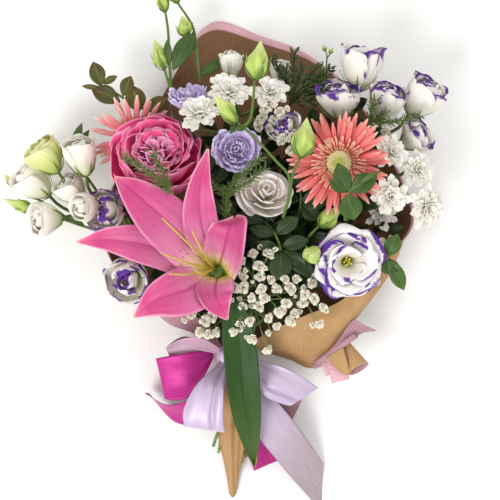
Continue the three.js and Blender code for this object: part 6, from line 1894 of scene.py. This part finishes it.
def make_studio():
    """A pale floor, soft daylight from all round, three lamps and the eye."""
    floor = bpy.data.meshes.new("floor")
    SIDE = 6.0
    floor.from_pydata([(-SIDE, -SIDE, 0), (SIDE, -SIDE, 0), (SIDE, SIDE, 0), (-SIDE, SIDE, 0)], [],
                      [(0, 1, 2, 3)])
    material, _, shader = new_material("pale floor", 0.9)
    shader.inputs["Base Color"].default_value = linear("#f6f5f3")
    made = new_object("floor", floor, material)
    made.location.z = -0.0005
    made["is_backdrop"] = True
    world = bpy.data.worlds.new("studio")
    bpy.context.scene.world = world
    world.use_nodes = True
    world.node_tree.nodes["Background"].inputs[0].default_value = linear("#ffffff")
    world.node_tree.nodes["Background"].inputs[1].default_value = SKY_LIGHT
    for name, (place, size, power) in LAMPS.items():
        lamp = bpy.data.lights.new(name, "AREA")
        lamp.size = size
        lamp.energy = power
        held = bpy.data.objects.new(name, lamp)
        bpy.context.scene.collection.objects.link(held)
        held.location = place
        held.rotation_euler = (LIT - Vector(place)).to_track_quat("-Z", "Y").to_euler()
    eye = bpy.data.cameras.new("eye")
    held = bpy.data.objects.new("eye", eye)
    bpy.context.scene.collection.objects.link(held)
    held.location = TIE + EYE * MM
    held.rotation_euler = (0, 0, 0)
    eye.sensor_width = SENSOR
    eye.lens = SENSOR * EYE.z / PHOTO_WIDTH
    eye.clip_end = 20
    bpy.context.scene.camera = held
    bpy.context.scene.view_settings.view_transform = "Standard"


# ------------------------------------------------------------------ everything, piece by piece

# The record's slot of each piece; the script looks it up but no finish is taken from it.
SLOT_PIECES = {
    "kraft_paper": ["paper_back", "paper_cuff", "paper_fold", "paper_skirt"],
    "lilac_satin": ["ribbon_lilac"],
    "magenta_satin": ["ribbon_magenta_loop", "ribbon_magenta_tails"],
    "stem": ["stems"],
    "dark_leaf": ["big_leaf", "leaves_centre", "leaves_middle", "leaves_left"],
    "lily_pink": ["lily"],
    "coral": ["gerbera_front", "gerbera_back"],
    "rose_pink": ["rose"],
    "cream": ["lisianthus_cream"],
    "lavender": ["lisianthus_lavender_open", "lisianthus_lavender_side"],
    "white_petal": ["lisianthus_front", "lisianthus_upper_right", "lisianthus_behind", "lisianthus_left",
                    "lisianthus_white", "mums_right", "mums_top", "mums_low"],
    "green_white": ["left_bunch"],
    "bud": ["bud_spray_centre", "bud_low", "bud_facing", "bud_spray_left", "bud_spray_top"],
    "leaf": ["bunch_leaves", "twig_upper_left", "twig_front", "twig_right"],
    "needle": ["needles_left", "needles_centre", "needles_right", "long_leaves", "wax_sprig"],
    "floret": ["gypsophila_front", "gypsophila_left", "gypsophila_back", "gypsophila_middle",
               "gypsophila_right"],
}
SLOTS = {node: slot for slot, nodes in SLOT_PIECES.items() for node in nodes}

make_studio()
make_blooms()
make_lily()
make_sprigs()
make_foliage()
make_needles()
make_gypsophila()
make_paper()
make_knot()
make_big_leaf()
make_stems()

for node, objects in PIECES.items():
    done = joined(node + "_look", objects)
    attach(done, "root")
    SLOTS.get(node, "leaf")
    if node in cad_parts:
        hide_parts(node)

for ribbon, name, length in make_ribbons():
    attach(ribbon, "root")
    node = RIBBON_NODE.get(name)
    if node:
        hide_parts(node)

binding = bpy.data.objects["binding"]
binding.data.materials.clear()
binding.data.materials.append(RAFFIA)

for piece in TEMPLATES:
    bpy.data.objects.remove(piece)

boxes = {"cad": cad_box, "visual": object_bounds()}
{name: [[float(c) for c in corner] for corner in box] for name, box in boxes.items()}
